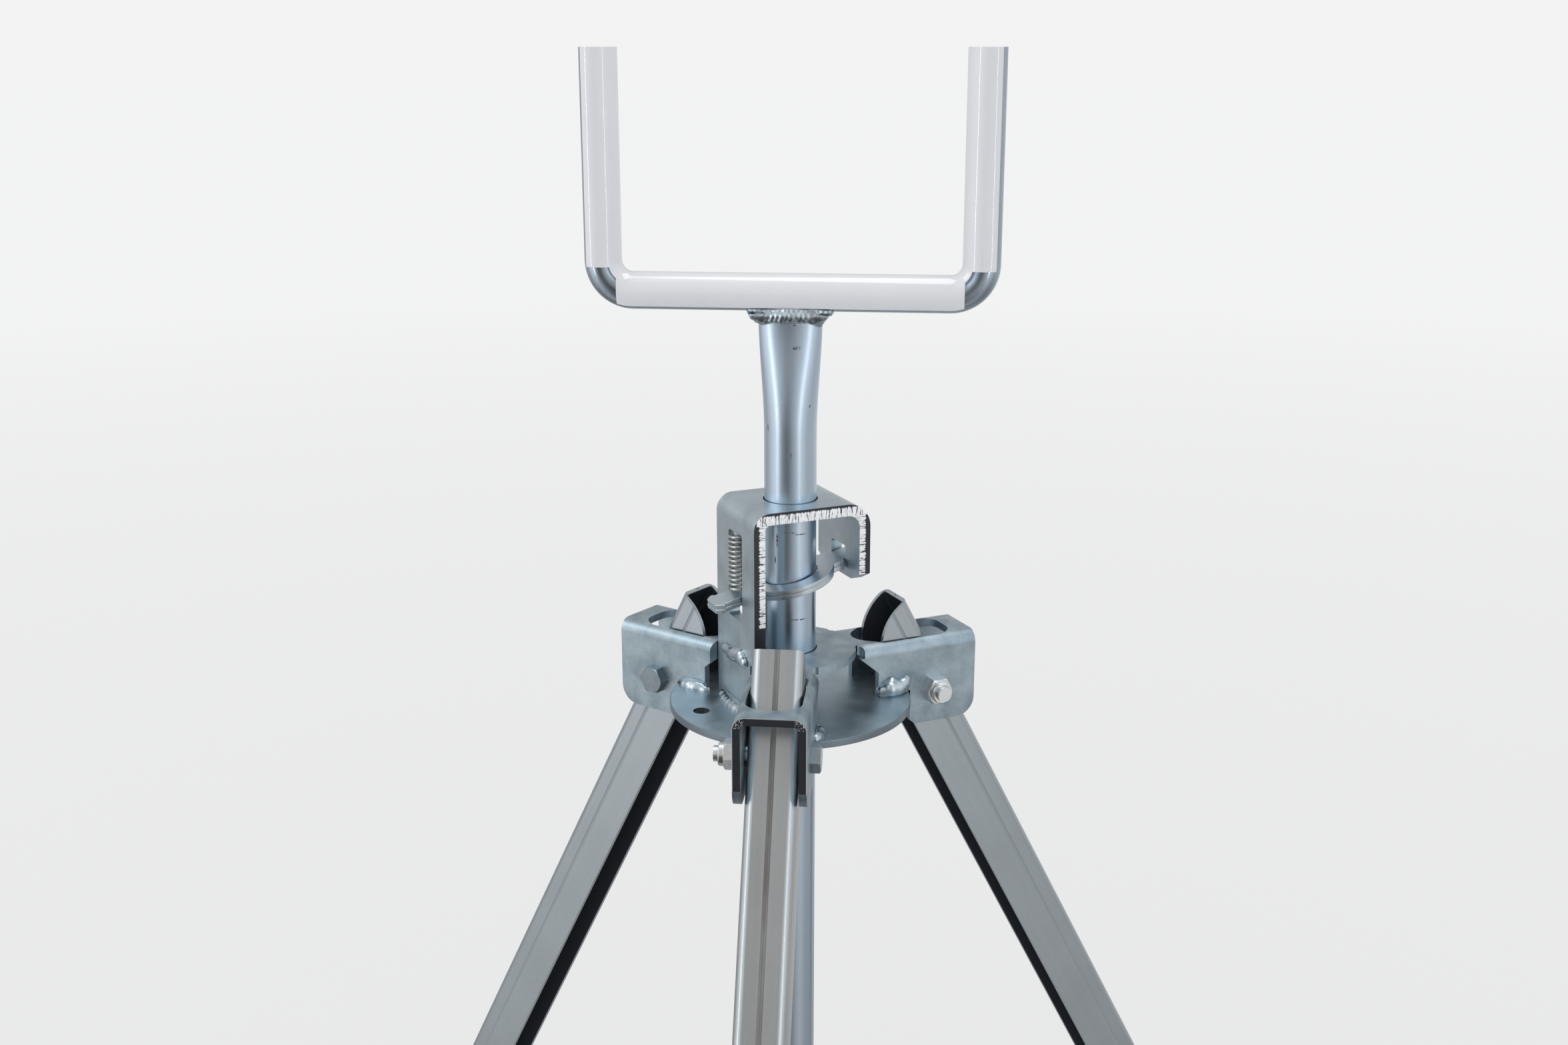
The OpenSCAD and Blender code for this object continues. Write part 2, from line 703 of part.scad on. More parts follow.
module pole() {
    flare_z = pole_top - flare_l;
    color(blue_zinc) at_pole() difference() {
        union() {
            translate([0, 0, pole_low]) cylinder(r = pole_r, h = flare_z - pole_low);
            flare(flat_w, flat_d, pole_r - flare_step, flare_z - merge, pole_top - merge);
        }
        translate([0, 0, pole_low - over]) cylinder(r = pole_r - pole_wall, h = flare_z - pole_low + over);
        flare(flat_w - 2 * pole_wall, flat_d - 2 * pole_wall, pole_r - pole_wall - flare_step,
            flare_z - merge, pole_top + merge);
        translate([-pole_d, 0, pin_z]) rotate([0, 90, 0])
            cylinder(d = pin_d + 2 * bolt_play, h = 2 * pole_d);
    }
}

// The fork's centre line carries this round section, solid or hollow
module fork_solid(r, end_run) {
    bar_half = fork_x - fork_bend_r;
    union() {
        translate([-bar_half, 0, fork_z]) rotate([0, 90, 0]) cylinder(r = r, h = 2 * bar_half);
        for (side = [0, 1]) mirror([side, 0, 0]) {
            translate([fork_x, 0, bend_z - merge]) cylinder(r = r, h = fork_top - bend_z + end_run);
            translate([bar_half, 0, bend_z]) rotate([90, 0, 0]) rotate([0, 0, -90])
                rotate_extrude(angle = 90) translate([fork_bend_r, 0]) circle(r = r);
        }
    }
}

module fork() {
    color(blue_zinc) at_pole() difference() {
        fork_solid(fork_r, 0);
        fork_solid(fork_r - fork_wall, over);
    }
}

// Section of a liner: a ring that is open toward +X
module liner_section() {
    inner = fork_r + liner_play;
    outer = fork_r + liner_wall;
    mid = (inner + outer) / 2;
    lip = (outer - inner) / 2 - liner_play;
    difference() {
        circle(r = outer);
        circle(r = inner);
        polygon([[0, 0], [2 * outer, 2 * outer * tan(liner_gap / 2)],
            [2 * outer, -2 * outer * tan(liner_gap / 2)]]);
    }
    for (side = [-1, 1])
        translate([mid * cos(liner_gap / 2), side * mid * sin(liner_gap / 2)]) circle(r = lip);
}

// The liner is one strip over the whole fork. Its side walls are notched at both bends.
module fork_liner() {
    bar_half = fork_x - fork_bend_r;
    color(white_plastic) at_pole() difference() {
        union() {
            translate([-bar_half, 0, fork_z]) rotate([0, 90, 0]) linear_extrude(2 * bar_half) liner_section();
            for (side = [0, 1]) mirror([side, 0, 0]) {
                translate([fork_x, 0, bend_z]) linear_extrude(fork_top - bend_z) liner_section();
                translate([bar_half, 0, bend_z]) rotate([90, 0, 0]) rotate([0, 0, -90])
                    rotate_extrude(angle = 90) translate([fork_bend_r, 0]) liner_section();
            }
        }
        for (side = [0, 1]) mirror([side, 0, 0]) translate([bar_half, 0, bend_z])
            rotate([90, 0, 0]) linear_extrude(2 * fork_d, center = true) difference() {
                translate([notch_side, -notch_low - 2 * fork_d]) square(2 * fork_d);
                circle(r = strip_r);
            }
    }
}

module fork_weld() {
    z_top = disc_z + fork_clear;
    color(weld_silver) at_pole() difference() {
        hull() {
            translate([0, 0, z_top - fweld_h]) linear_extrude(fweld_slice) union() {
                square([flat_w - flat_d, flat_d], center = true);
                for (side = [-1, 1]) translate([side * (flat_w - flat_d) / 2, 0]) circle(d = flat_d);
            }
            translate([0, 0, z_top + fweld_up - fweld_slice]) linear_extrude(fweld_slice)
                square([fweld_w, fweld_deep], center = true);
            translate([0, 0, z_top - fweld_mid]) linear_extrude(fweld_slice)
                square([flat_w + fweld_h, flat_d + 2 * fweld_slice], center = true);
        }
        flare(flat_w, flat_d, pole_r, pole_top - flare_l, pole_top - merge);
        translate([-fweld_w, 0, fork_z]) rotate([0, 90, 0]) cylinder(r = fork_r, h = 2 * fweld_w);
    }
}

// Legs
module leg_section() {
    inner_r = leg_corner - leg_wall;
    groove_out = groove_r - groove_depth;
    difference() {
        union() {
            translate([-edge_x, -leg_half]) square([leg_depth - leg_corner, leg_w]);
            translate([-edge_x, leg_corner - leg_half]) square([leg_depth, leg_w - 2 * leg_corner]);
            for (side = [-1, 1])
                translate([web_x - leg_corner, side * (leg_half - leg_corner)]) circle(r = leg_corner);
        }
        translate([-edge_x - over, leg_wall - leg_half])
            square([leg_depth - leg_corner + over, leg_w - 2 * leg_wall]);
        translate([-edge_x - over, leg_corner - leg_half])
            square([leg_depth - leg_wall + over, leg_w - 2 * leg_corner]);
        for (side = [-1, 1]) {
            translate([web_x - leg_corner, side * (leg_half - leg_corner)]) circle(r = inner_r);
            translate([0, side * (leg_half + groove_out)]) circle(r = groove_r);
        }
        translate([web_x + groove_out, 0]) circle(r = groove_r);
    }
}

module leg(dir) {
    color(leg_grey) at_leg(dir) difference() {
        translate([0, 0, -leg_low]) linear_extrude(leg_low + leg_top + leg_depth) leg_section();
        // The top end is cut to a quarter round that keeps the outer face longest
        translate([0, leg_w, leg_top]) rotate([90, 0, 0]) linear_extrude(2 * leg_w) difference() {
            translate([-edge_x - over, 0]) square([leg_depth + 2 * over, leg_depth + over]);
            translate([web_x, 0]) circle(r = leg_depth);
        }
        translate([0, leg_w, 0]) rotate([90, 0, 0]) cylinder(r = hinge_r, h = 2 * leg_w);
    }
}

module pivot_bolt(dir) {
    color(weld_silver) at_arm(dir) translate([pivot_r, arm_half, -pivot_down]) rotate([-90, 0, 0]) {
        hex_body(hex_w, head_h, hex_bevel);
        translate([0, 0, -bolt_l]) cylinder(d = bolt_d, h = bolt_l + merge);
    }
}

module pivot_nut(dir) {
    bore = bolt_d + 2 * bolt_play;
    color(weld_silver) at_arm(dir) translate([pivot_r, -arm_half, -pivot_down]) rotate([90, 0, 0])
        difference() {
            union() {
                hex_body(hex_w, nut_hex_h, hex_bevel);
                cylinder(d = collar_d, h = nut_h - hex_bevel);
                translate([0, 0, nut_h - hex_bevel])
                    cylinder(d1 = collar_d, d2 = collar_d - 2 * hex_bevel, h = hex_bevel);
            }
            translate([0, 0, -over]) cylinder(d = bore, h = nut_h + 2 * over);
        }
}

module pivot_sleeve(dir) {
    length = 2 * (arm_inner - sleeve_end_gap);
    color(zinc) at_arm(dir) translate([pivot_r, length / 2, -pivot_down]) rotate([90, 0, 0])
        tube(sleeve_d / 2, sleeve_d / 2 - bolt_d / 2 - bolt_play, length);
}

// Section of a foot around the leg, grown by rim
module foot_section(rim) {
    r = foot_corner;
    x0 = -edge_x - foot_wall - rim;
    x1 = foot_x + rim;
    half = foot_half + rim;
    stadium(x0, x1, half, r, r);
}

module foot(dir) {
    low = leg_floor + leg_depth;
    reach = foot_tip + leg_depth;
    color(black_rubber) difference() {
        at_leg(dir) difference() {
            union() {
                translate([0, 0, -low]) linear_extrude(low - leg_low + foot_l) foot_section(0);
                translate([0, 0, foot_l - leg_low - foot_rim_h]) linear_extrude(foot_rim_h)
                    foot_section(foot_rim);
            }
            translate([0, 0, -leg_low]) linear_extrude(foot_l + over) leg_section();
        }
        // Everything below the floor is cut off level
        translate([-reach, -reach, -reach]) cube([2 * reach, 2 * reach, reach]);
    }
}

// Pole stop
module stop_pin() {
    color(weld_silver) at_pole() translate([-pin_l / 2, 0, pin_z]) rotate([0, 90, 0])
        cylinder(d = pin_d, h = pin_l);
}

module stop_washer() {
    color(zinc) at_pole() translate([0, 0, washer_z])
        tube(washer_d / 2, washer_d / 2 - pole_r - washer_play, washer_t);
}

module pole_end_plug() {
    color(black_rubber) at_pole() union() {
        translate([0, 0, pole_low - plug_flange]) cylinder(r = pole_r, h = plug_flange);
        translate([0, 0, pole_low - merge])
            cylinder(r = pole_r - pole_wall - liner_play, h = plug_deep + merge);
    }
}

base_disc();
spider();
hub_welds();
lock_bracket();
lock_plate_upper();
lock_plate_lower();
lock_spring();
pole();
fork();
fork_weld();
fork_liner();
leg(leg_dirs[0]);  // leg_front
leg(leg_dirs[1]);  // leg_right
leg(leg_dirs[2]);  // leg_left
pivot_bolt(leg_dirs[0]);  // pivot_bolt_front
pivot_bolt(leg_dirs[1]);  // pivot_bolt_right
pivot_bolt(leg_dirs[2]);  // pivot_bolt_left
pivot_nut(leg_dirs[0]);  // pivot_nut_front
pivot_nut(leg_dirs[1]);  // pivot_nut_right
pivot_nut(leg_dirs[2]);  // pivot_nut_left
pivot_sleeve(leg_dirs[0]);  // pivot_sleeve_front
pivot_sleeve(leg_dirs[1]);  // pivot_sleeve_right
pivot_sleeve(leg_dirs[2]);  // pivot_sleeve_left
foot(leg_dirs[0]);  // foot_front
foot(leg_dirs[1]);  // foot_right
foot(leg_dirs[2]);  // foot_left
pole_end_plug();
stop_pin();
stop_washer();
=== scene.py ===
# %% [markdown]
# # A folding tripod stand with a lined fork
# The solids come from the imported frame. Here they get rounded edges, lumpy welds,
# a round spring wire and finishes made from nodes. First the frame is loaded. The
# dressed model has to stay inside it.

import json
import math

import bpy
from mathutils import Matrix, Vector

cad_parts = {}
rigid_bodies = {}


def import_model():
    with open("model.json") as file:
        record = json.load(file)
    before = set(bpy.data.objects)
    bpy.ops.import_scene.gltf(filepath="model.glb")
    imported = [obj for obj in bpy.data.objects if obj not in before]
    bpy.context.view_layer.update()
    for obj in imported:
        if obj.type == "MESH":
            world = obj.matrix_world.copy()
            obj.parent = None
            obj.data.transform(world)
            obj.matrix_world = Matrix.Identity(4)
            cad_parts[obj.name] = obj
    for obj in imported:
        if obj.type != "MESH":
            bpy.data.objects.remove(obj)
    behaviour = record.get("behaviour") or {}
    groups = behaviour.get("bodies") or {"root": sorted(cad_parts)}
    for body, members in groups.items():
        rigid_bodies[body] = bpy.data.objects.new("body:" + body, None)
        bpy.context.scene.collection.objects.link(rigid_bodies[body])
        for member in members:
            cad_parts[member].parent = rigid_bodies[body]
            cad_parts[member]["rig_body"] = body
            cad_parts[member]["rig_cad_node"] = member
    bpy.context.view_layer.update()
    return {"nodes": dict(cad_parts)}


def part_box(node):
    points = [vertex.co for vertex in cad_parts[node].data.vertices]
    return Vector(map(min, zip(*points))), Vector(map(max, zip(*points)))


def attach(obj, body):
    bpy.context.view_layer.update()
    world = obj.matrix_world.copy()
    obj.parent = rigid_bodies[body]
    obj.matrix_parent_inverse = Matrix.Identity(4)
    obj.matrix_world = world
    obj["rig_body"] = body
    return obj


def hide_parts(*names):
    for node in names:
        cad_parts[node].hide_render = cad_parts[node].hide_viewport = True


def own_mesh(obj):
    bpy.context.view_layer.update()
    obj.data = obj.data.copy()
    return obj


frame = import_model()
nodes = frame["nodes"]
MM = 0.001
# The pole's axis, the disc's upper face and the legs' pivots, in the scene's frame
POLE_Y = 0.0989886
DISC_Z = 0.5775
PIVOT_R = 97 * MM
PIVOT_Z = 0.576
LOCK_TURN = math.radians(-150)
LEG_TILT = math.radians(28.2)
ARM_TURNS = {"front": math.radians(-90), "right": math.radians(30), "left": math.radians(150)}
# The colours of a dark cut, of a painted highlight on a cut, and of the painted shade inside a hole and
# inside a leg's channel
CUT_DARK = (0.03, 0.035, 0.045, 1)
CUT_PAINTED_HIGHLIGHT = (0.8, 0.82, 0.83, 1)
HOLE_PAINTED_SHADE = (0.03, 0.035, 0.04, 1)
CHANNEL_PAINTED_SHADE = (0.03, 0.034, 0.04, 1)


def clear_selection():
    """Leaves object mode and deselects all, so that the next operator acts on one piece."""
    if bpy.context.mode != "OBJECT":
        bpy.ops.object.mode_set(mode="OBJECT")
    bpy.ops.object.select_all(action="DESELECT")


def pick(piece):
    """Makes one piece the only selected and active one."""
    clear_selection()
    piece.select_set(True)
    bpy.context.view_layer.objects.active = piece


# %% [markdown]
# ## Camera and studio
# The camera stands a metre in front of the pole, level with the fork's top, and looks
# down by 15.5 degrees. The studio is white behind the stand, and the sides and front
# are a soft pattern of light and grey, because bare metal only shows what it reflects.

# %% Camera
scene = bpy.context.scene
camera_data = bpy.data.cameras.new("photo_camera")
camera = bpy.data.objects.new("photo_camera", camera_data)
scene.collection.objects.link(camera)
camera_data.sensor_width = 36
camera_data.lens = 39.4
camera_data.clip_start = 0.02
camera.location = (0.10451, -0.96690, 0.9945)
camera.rotation_euler = (math.radians(74.5), 0, math.radians(5.82))
scene.camera = camera
scene.view_settings.view_transform = "Standard"

# %% Node helpers


def add(tree, kind, **sockets):
    """Adds a node and sets its inputs: a value, or another node's output that is linked in."""
    made = tree.nodes.new(kind)
    for key, value in sockets.items():
        if key.startswith("_"):
            setattr(made, key[1:], value)
            continue
        name = key.replace("_", " ")
        socket = made.inputs[int(key[1:])] if key[0] == "i" and key[1:].isdigit() else made.inputs[name]
        if isinstance(value, bpy.types.NodeSocket):
            tree.links.new(value, socket)
        else:
            socket.default_value = value
    return made


def maths(tree, operation, a, b=0.0, clamp=False):
    """One Math node, with its result."""
    return add(tree, "ShaderNodeMath", _operation=operation, _use_clamp=clamp, i0=a, i1=b).outputs[0]


def spread(tree, value, low, high, to_low=0.0, to_high=1.0):
    """Maps a value from one span to another one, and clamps it there."""
    return add(tree, "ShaderNodeMapRange", Value=value, From_Min=low, From_Max=high,
               To_Min=to_low, To_Max=to_high).outputs[0]


def blend_colours(tree, share, a, b, how="MIX"):
    """Mixes two colours."""
    return add(tree, "ShaderNodeMix", _data_type="RGBA", _blend_type=how, i0=share, i6=a, i7=b).outputs[2]


def ramp(tree, value, stops):
    """A colour ramp with grey or coloured stops."""
    made = add(tree, "ShaderNodeValToRGB", Fac=value)
    while len(made.color_ramp.elements) < len(stops):
        made.color_ramp.elements.new(0.5)
    for element, (place, shade) in zip(made.color_ramp.elements, stops):
        element.position = place
        element.color = (*((shade,) * 3 if isinstance(shade, float) else shade), 1)
    return made.outputs[0]


def stretched(tree, vector, scale):
    """A coordinate multiplied on each axis."""
    return add(tree, "ShaderNodeVectorMath", _operation="MULTIPLY", i0=vector, i1=scale).outputs[0]


# %% World light
world = bpy.data.worlds.new("studio")
scene.world = world
world.use_nodes = True
sky = world.node_tree
sky.nodes.clear()
direction = add(sky, "ShaderNodeTexCoord").outputs["Generated"]
around = add(sky, "ShaderNodeTexGradient", _gradient_type="RADIAL", Vector=direction).outputs["Fac"]
height = add(sky, "ShaderNodeSeparateXYZ", Vector=direction).outputs["Z"]
# Round the horizon: 0.25 is the camera's side, 0.5 the right, 0.75 behind the stand, 0 the left
walls = ramp(sky, around, [(0.0, 0.66), (0.03, 0.86), (0.08, 0.96), (0.13, 0.6), (0.17, 0.22), (0.21, 0.08),
                           (0.25, 0.16), (0.29, 0.42), (0.33, 0.55), (0.39, 0.82), (0.43, 0.72), (0.48, 0.5),
                           (0.6, 0.6), (0.75, 0.85), (0.87, 0.5), (0.93, 0.42), (1.0, 0.66)])
cool, warm = (0.88, 0.95, 1.0), (0.45, 0.43, 0.41)
ceiling = ramp(sky, around, [(0.0, cool), (0.17, cool), (0.2, 0.55), (0.25, warm), (0.3, 0.55), (0.33, cool),
                             (0.5, cool), (0.6, 0.6), (0.75, 0.52), (0.9, 0.55), (1.0, cool)])
studio = blend_colours(sky, spread(sky, height, -0.12, 0.25), walls, ceiling)
low_dark = spread(sky, height, -0.65, -0.25, 0.5, 1.0)
low_shade = add(sky, "ShaderNodeCombineXYZ", X=low_dark, Y=low_dark, Z=low_dark).outputs[0]
studio = blend_colours(sky, 1.0, studio, low_shade, "MULTIPLY")
rays = add(sky, "ShaderNodeLightPath")
seen = add(sky, "ShaderNodeBackground", Color=(0.895, 0.895, 0.9, 1), Strength=1.0).outputs[0]
mirrored = add(sky, "ShaderNodeBackground", Color=studio, Strength=1.0).outputs[0]
soft = add(sky, "ShaderNodeBackground", Color=(0.94, 0.965, 1.0, 1), Strength=0.84).outputs[0]
lit = add(sky, "ShaderNodeMixShader", i0=rays.outputs["Is Glossy Ray"], i1=soft, i2=mirrored).outputs[0]
shown = add(sky, "ShaderNodeMixShader", i0=rays.outputs["Is Camera Ray"], i1=lit, i2=seen).outputs[0]
add(sky, "ShaderNodeOutputWorld", Surface=shown)
# The mirror image of the studio is only right where the metal's own rays find it
world.cycles.sampling_method = "NONE"


# %% Lamps
def lamp(name, place, aim, width, tall, power):
    """A soft lamp with a rectangular face that looks at a point."""
    lamp_data = bpy.data.lights.new(name, "AREA")
    lamp_data.shape = "RECTANGLE"
    lamp_data.size = width
    lamp_data.size_y = tall
    lamp_data.energy = power
    made = bpy.data.objects.new(name, lamp_data)
    made.location = place
    made.rotation_euler = (Vector(aim) - Vector(place)).to_track_quat("-Z", "Y").to_euler()
    scene.collection.objects.link(made)


lamp("left_strip", (-1.73, -1.26, 1.0), (0, 0.1, 1.0), 0.07, 1.6, 3.0)
lamp("right_strip", (1.53, -1.49, 1.0), (0, 0.1, 1.0), 0.06, 1.6, 2.2)
lamp("left_softbox", (-1.9, -0.4, 1.9), (0, 0.1, 0.65), 1.0, 1.0, 6)
lamp("top_softbox", (0.2, 0.3, 2.7), (0, 0.1, 0.6), 1.2, 1.2, 10)

# %% Floor
floor_size, near_white, far_white, camera_share = 90, 0.80, 0.925, 0.86
clear_selection()
bpy.ops.mesh.primitive_plane_add(size=floor_size, location=(0, 0, 0))
floor = bpy.context.object
floor.name = "studio_floor"
floor_paint = bpy.data.materials.new("pale_floor")
floor_paint.use_nodes = True
tree = floor_paint.node_tree
tree.nodes.clear()
rays = add(tree, "ShaderNodeLightPath")
matt = add(tree, "ShaderNodeBsdfDiffuse", Color=(0.86, 0.86, 0.87, 1)).outputs[0]
# The floor is white to the camera, and lighter far away. From below it is clear, and
# metal looks through it at the studio's lower half.
away = add(tree, "ShaderNodeVectorMath", _operation="LENGTH",
           i0=add(tree, "ShaderNodeTexCoord").outputs["Object"]).outputs["Value"]
white = spread(tree, away, 0.3, 6.0, near_white, far_white)
glow = add(tree, "ShaderNodeEmission", Strength=1.0,
           Color=add(tree, "ShaderNodeCombineXYZ", X=white, Y=white, Z=white).outputs[0]).outputs[0]
bright = add(tree, "ShaderNodeMixShader", i1=matt, i2=glow,
             i0=maths(tree, "MULTIPLY", rays.outputs["Is Camera Ray"], camera_share)).outputs[0]
clear = add(tree, "ShaderNodeBsdfTransparent").outputs[0]
through = maths(tree, "MAXIMUM", rays.outputs["Is Glossy Ray"],
                maths(tree, "MULTIPLY", add(tree, "ShaderNodeNewGeometry").outputs["Backfacing"],
                      rays.outputs["Is Camera Ray"]))
add(tree, "ShaderNodeOutputMaterial", Surface=add(tree, "ShaderNodeMixShader", i0=through, i1=bright,
                                                  i2=clear).outputs[0])
floor.data.materials.append(floor_paint)
clear_selection()

# %% [markdown]
# ## Shared effects
# Zinc plating on rolled steel has three things to show: a fine grain, cloudy patches and
# streaks in the rolling direction. They are one node group, and each finish places it
# with its own scales. A second group makes small dark specks, and a third one the torn
# face that a press leaves where it cuts a thick plate.


# %% Group helper
def group(name, inputs, outputs):
    """A shader node group with named sockets. Gives back the tree, its inputs and a way to end it."""
    made = bpy.data.node_groups.new(name, "ShaderNodeTree")
    for label, kind, value in inputs:
        socket = made.interface.new_socket(label, in_out="INPUT", socket_type=kind)
        if value is not None:
            socket.default_value = value
    for label, kind in outputs:
        made.interface.new_socket(label, in_out="OUTPUT", socket_type=kind)
    entry, leave = made.nodes.new("NodeGroupInput"), made.nodes.new("NodeGroupOutput")

    def end(**results):
        for label, socket in results.items():
            made.links.new(socket, leave.inputs[label])

    return made, entry.outputs, end


def noise(tree, vector, scale, detail=3.0, rough=0.55):
    """The grey value of a noise texture."""
    return add(tree, "ShaderNodeTexNoise", Vector=vector, Scale=scale, Detail=detail,
               Roughness=rough).outputs["Fac"]


# %% Plating
COLOUR, NUMBER, POINT = "NodeSocketColor", "NodeSocketFloat", "NodeSocketVector"
plating, given, end = group(
    "zinc_plating",
    [("Place", POINT, None), ("Light", COLOUR, (0.6, 0.66, 0.7, 1)), ("Dark", COLOUR, (0.4, 0.46, 0.5, 1)),
     ("Grain Scale", NUMBER, 900.0), ("Grain", NUMBER, 0.3), ("Cloud Scale", NUMBER, 30.0),
     ("Clouds", NUMBER, 0.6), ("Streak Stretch", POINT, (300.0, 300.0, 6.0)), ("Streaks", NUMBER, 0.3),
     ("Smooth", NUMBER, 0.25), ("Rough", NUMBER, 0.45)],
    [("Color", COLOUR), ("Roughness", NUMBER), ("Height", NUMBER)])
fine = noise(plating, given["Place"], given["Grain Scale"], 2.0)
cloud = noise(plating, given["Place"], given["Cloud Scale"], 4.0)
streak = noise(plating, stretched(plating, given["Place"], given["Streak Stretch"]), 1.0, 3.0)
mixed = maths(plating, "ADD",
              maths(plating, "MULTIPLY", maths(plating, "SUBTRACT", cloud, 0.5), given["Clouds"]),
              maths(plating, "MULTIPLY", maths(plating, "SUBTRACT", streak, 0.5), given["Streaks"]))
mixed = maths(plating, "ADD", mixed,
              maths(plating, "MULTIPLY", maths(plating, "SUBTRACT", fine, 0.5), given["Grain"]))
tone = maths(plating, "ADD", maths(plating, "MULTIPLY", mixed, 1.6), 0.5, clamp=True)
sheen = maths(plating, "ADD", given["Smooth"], maths(
    plating, "MULTIPLY", maths(plating, "SUBTRACT", given["Rough"], given["Smooth"]), tone))
end(Color=blend_colours(plating, tone, given["Dark"], given["Light"]), Roughness=sheen,
    Height=maths(plating, "ADD", fine, maths(plating, "MULTIPLY", streak, 0.6)))

# %% Specks
specks, given, end = group(
    "dark_specks", [("Place", POINT, None), ("Scale", NUMBER, 60.0), ("Size", NUMBER, 0.08),
                    ("Share", NUMBER, 0.2)], [("Mask", NUMBER)])
cells = add(specks, "ShaderNodeTexVoronoi", Vector=given["Place"], Scale=given["Scale"])
chosen = maths(specks, "LESS_THAN", add(specks, "ShaderNodeSeparateColor",
                                        Color=cells.outputs["Color"]).outputs[0], given["Share"])
ragged = maths(specks, "ADD", cells.outputs["Distance"],
               maths(specks, "MULTIPLY", maths(specks, "SUBTRACT", noise(specks, given["Place"], 900.0), 0.5),
                     0.1))
near = maths(specks, "LESS_THAN", ragged, given["Size"])
end(Mask=maths(specks, "MULTIPLY", near, chosen))

# %% Torn edge
torn, given, end = group(
    "torn_edge", [("Along", NUMBER, 0.0), ("Depth", NUMBER, 0.0), ("Lip", NUMBER, 0.0036)],
    [("Color", COLOUR), ("Height", NUMBER)])
lines = noise(torn, add(torn, "ShaderNodeCombineXYZ", X=maths(torn, "MULTIPLY", given["Along"], 900.0),
                        Y=maths(torn, "MULTIPLY", given["Depth"], 110.0)).outputs[0], 1.0, 3.0, 0.7)
wave = maths(torn, "MULTIPLY", maths(torn, "SUBTRACT", lines, 0.5), 0.004)
inside = spread(torn, maths(torn, "SUBTRACT", maths(torn, "ADD", given["Depth"], wave), given["Lip"]),
                -0.0002, 0.0002)
shades = ramp(torn, lines, [(0.4, CUT_DARK[:3]), (0.47, (0.85, 0.87, 0.88)), (0.52, (1.0, 1.0, 1.0))])
end(Color=blend_colours(torn, inside, CUT_DARK, shades),
    Height=maths(torn, "MULTIPLY", lines, inside))

# %% [markdown]
# ## Finishes
# Each finish is one Principled shader. A Mapping node turns the coordinates into the
# frame of the leg or of the lock bracket, so that streaks run along the steel.


# %% Finish helper
def finish(name, place=(0, 0, 0), turn=(0, 0, 0)):
    """A new material with its shader and its coordinates in a turned frame."""
    paint = bpy.data.materials.new(name)
    paint.use_nodes = True
    made = paint.node_tree
    made.nodes.clear()
    shader = made.nodes.new("ShaderNodeBsdfPrincipled")
    add(made, "ShaderNodeOutputMaterial", Surface=shader.outputs[0])
    spot = add(made, "ShaderNodeMapping", _vector_type="TEXTURE",
               Vector=add(made, "ShaderNodeTexCoord").outputs["Object"], Location=place, Rotation=turn)
    return paint, made, shader, spot.outputs[0]


def metal(name, light, dark, smooth, rough, grain=0.3, clouds=0.5, streaks=0.3, cloud_scale=30.0,
          stretch=(260, 260, 5), bump=0.05, place=(0, 0, 0), turn=(0, 0, 0), speck_scale=60.0,
          speck_size=0.06, speck_share=0.1, detail=None):
    """A zinc finish. Detail changes its colour and height by place, and gives a dull share as well."""
    paint, made, shader, spot = finish(name, place, turn)
    coat = add(made, "ShaderNodeGroup", _node_tree=plating)
    for label, value in (("Light", (*light, 1)), ("Dark", (*dark, 1)), ("Grain", grain),
                         ("Cloud Scale", cloud_scale), ("Clouds", clouds), ("Streak Stretch", stretch),
                         ("Streaks", streaks), ("Smooth", smooth), ("Rough", rough)):
        coat.inputs[label].default_value = value
    made.links.new(spot, coat.inputs["Place"])
    dots = add(made, "ShaderNodeGroup", _node_tree=specks, Place=spot, Scale=speck_scale, Size=speck_size,
               Share=speck_share).outputs["Mask"]
    colour = blend_colours(made, dots, coat.outputs["Color"], (0.05, 0.055, 0.06, 1))
    high = coat.outputs["Height"]
    shader.inputs["Metallic"].default_value = 1.0
    if detail:
        colour, high, dull = detail(made, spot, colour, high)
        if dull:
            made.links.new(maths(made, "SUBTRACT", 1.0, dull), shader.inputs["Metallic"])
    made.links.new(colour, shader.inputs["Base Color"])
    made.links.new(coat.outputs["Roughness"], shader.inputs["Roughness"])
    lumps = add(made, "ShaderNodeBump", Strength=bump, Distance=0.001, Height=high)
    made.links.new(lumps.outputs[0], shader.inputs["Normal"])
    return paint


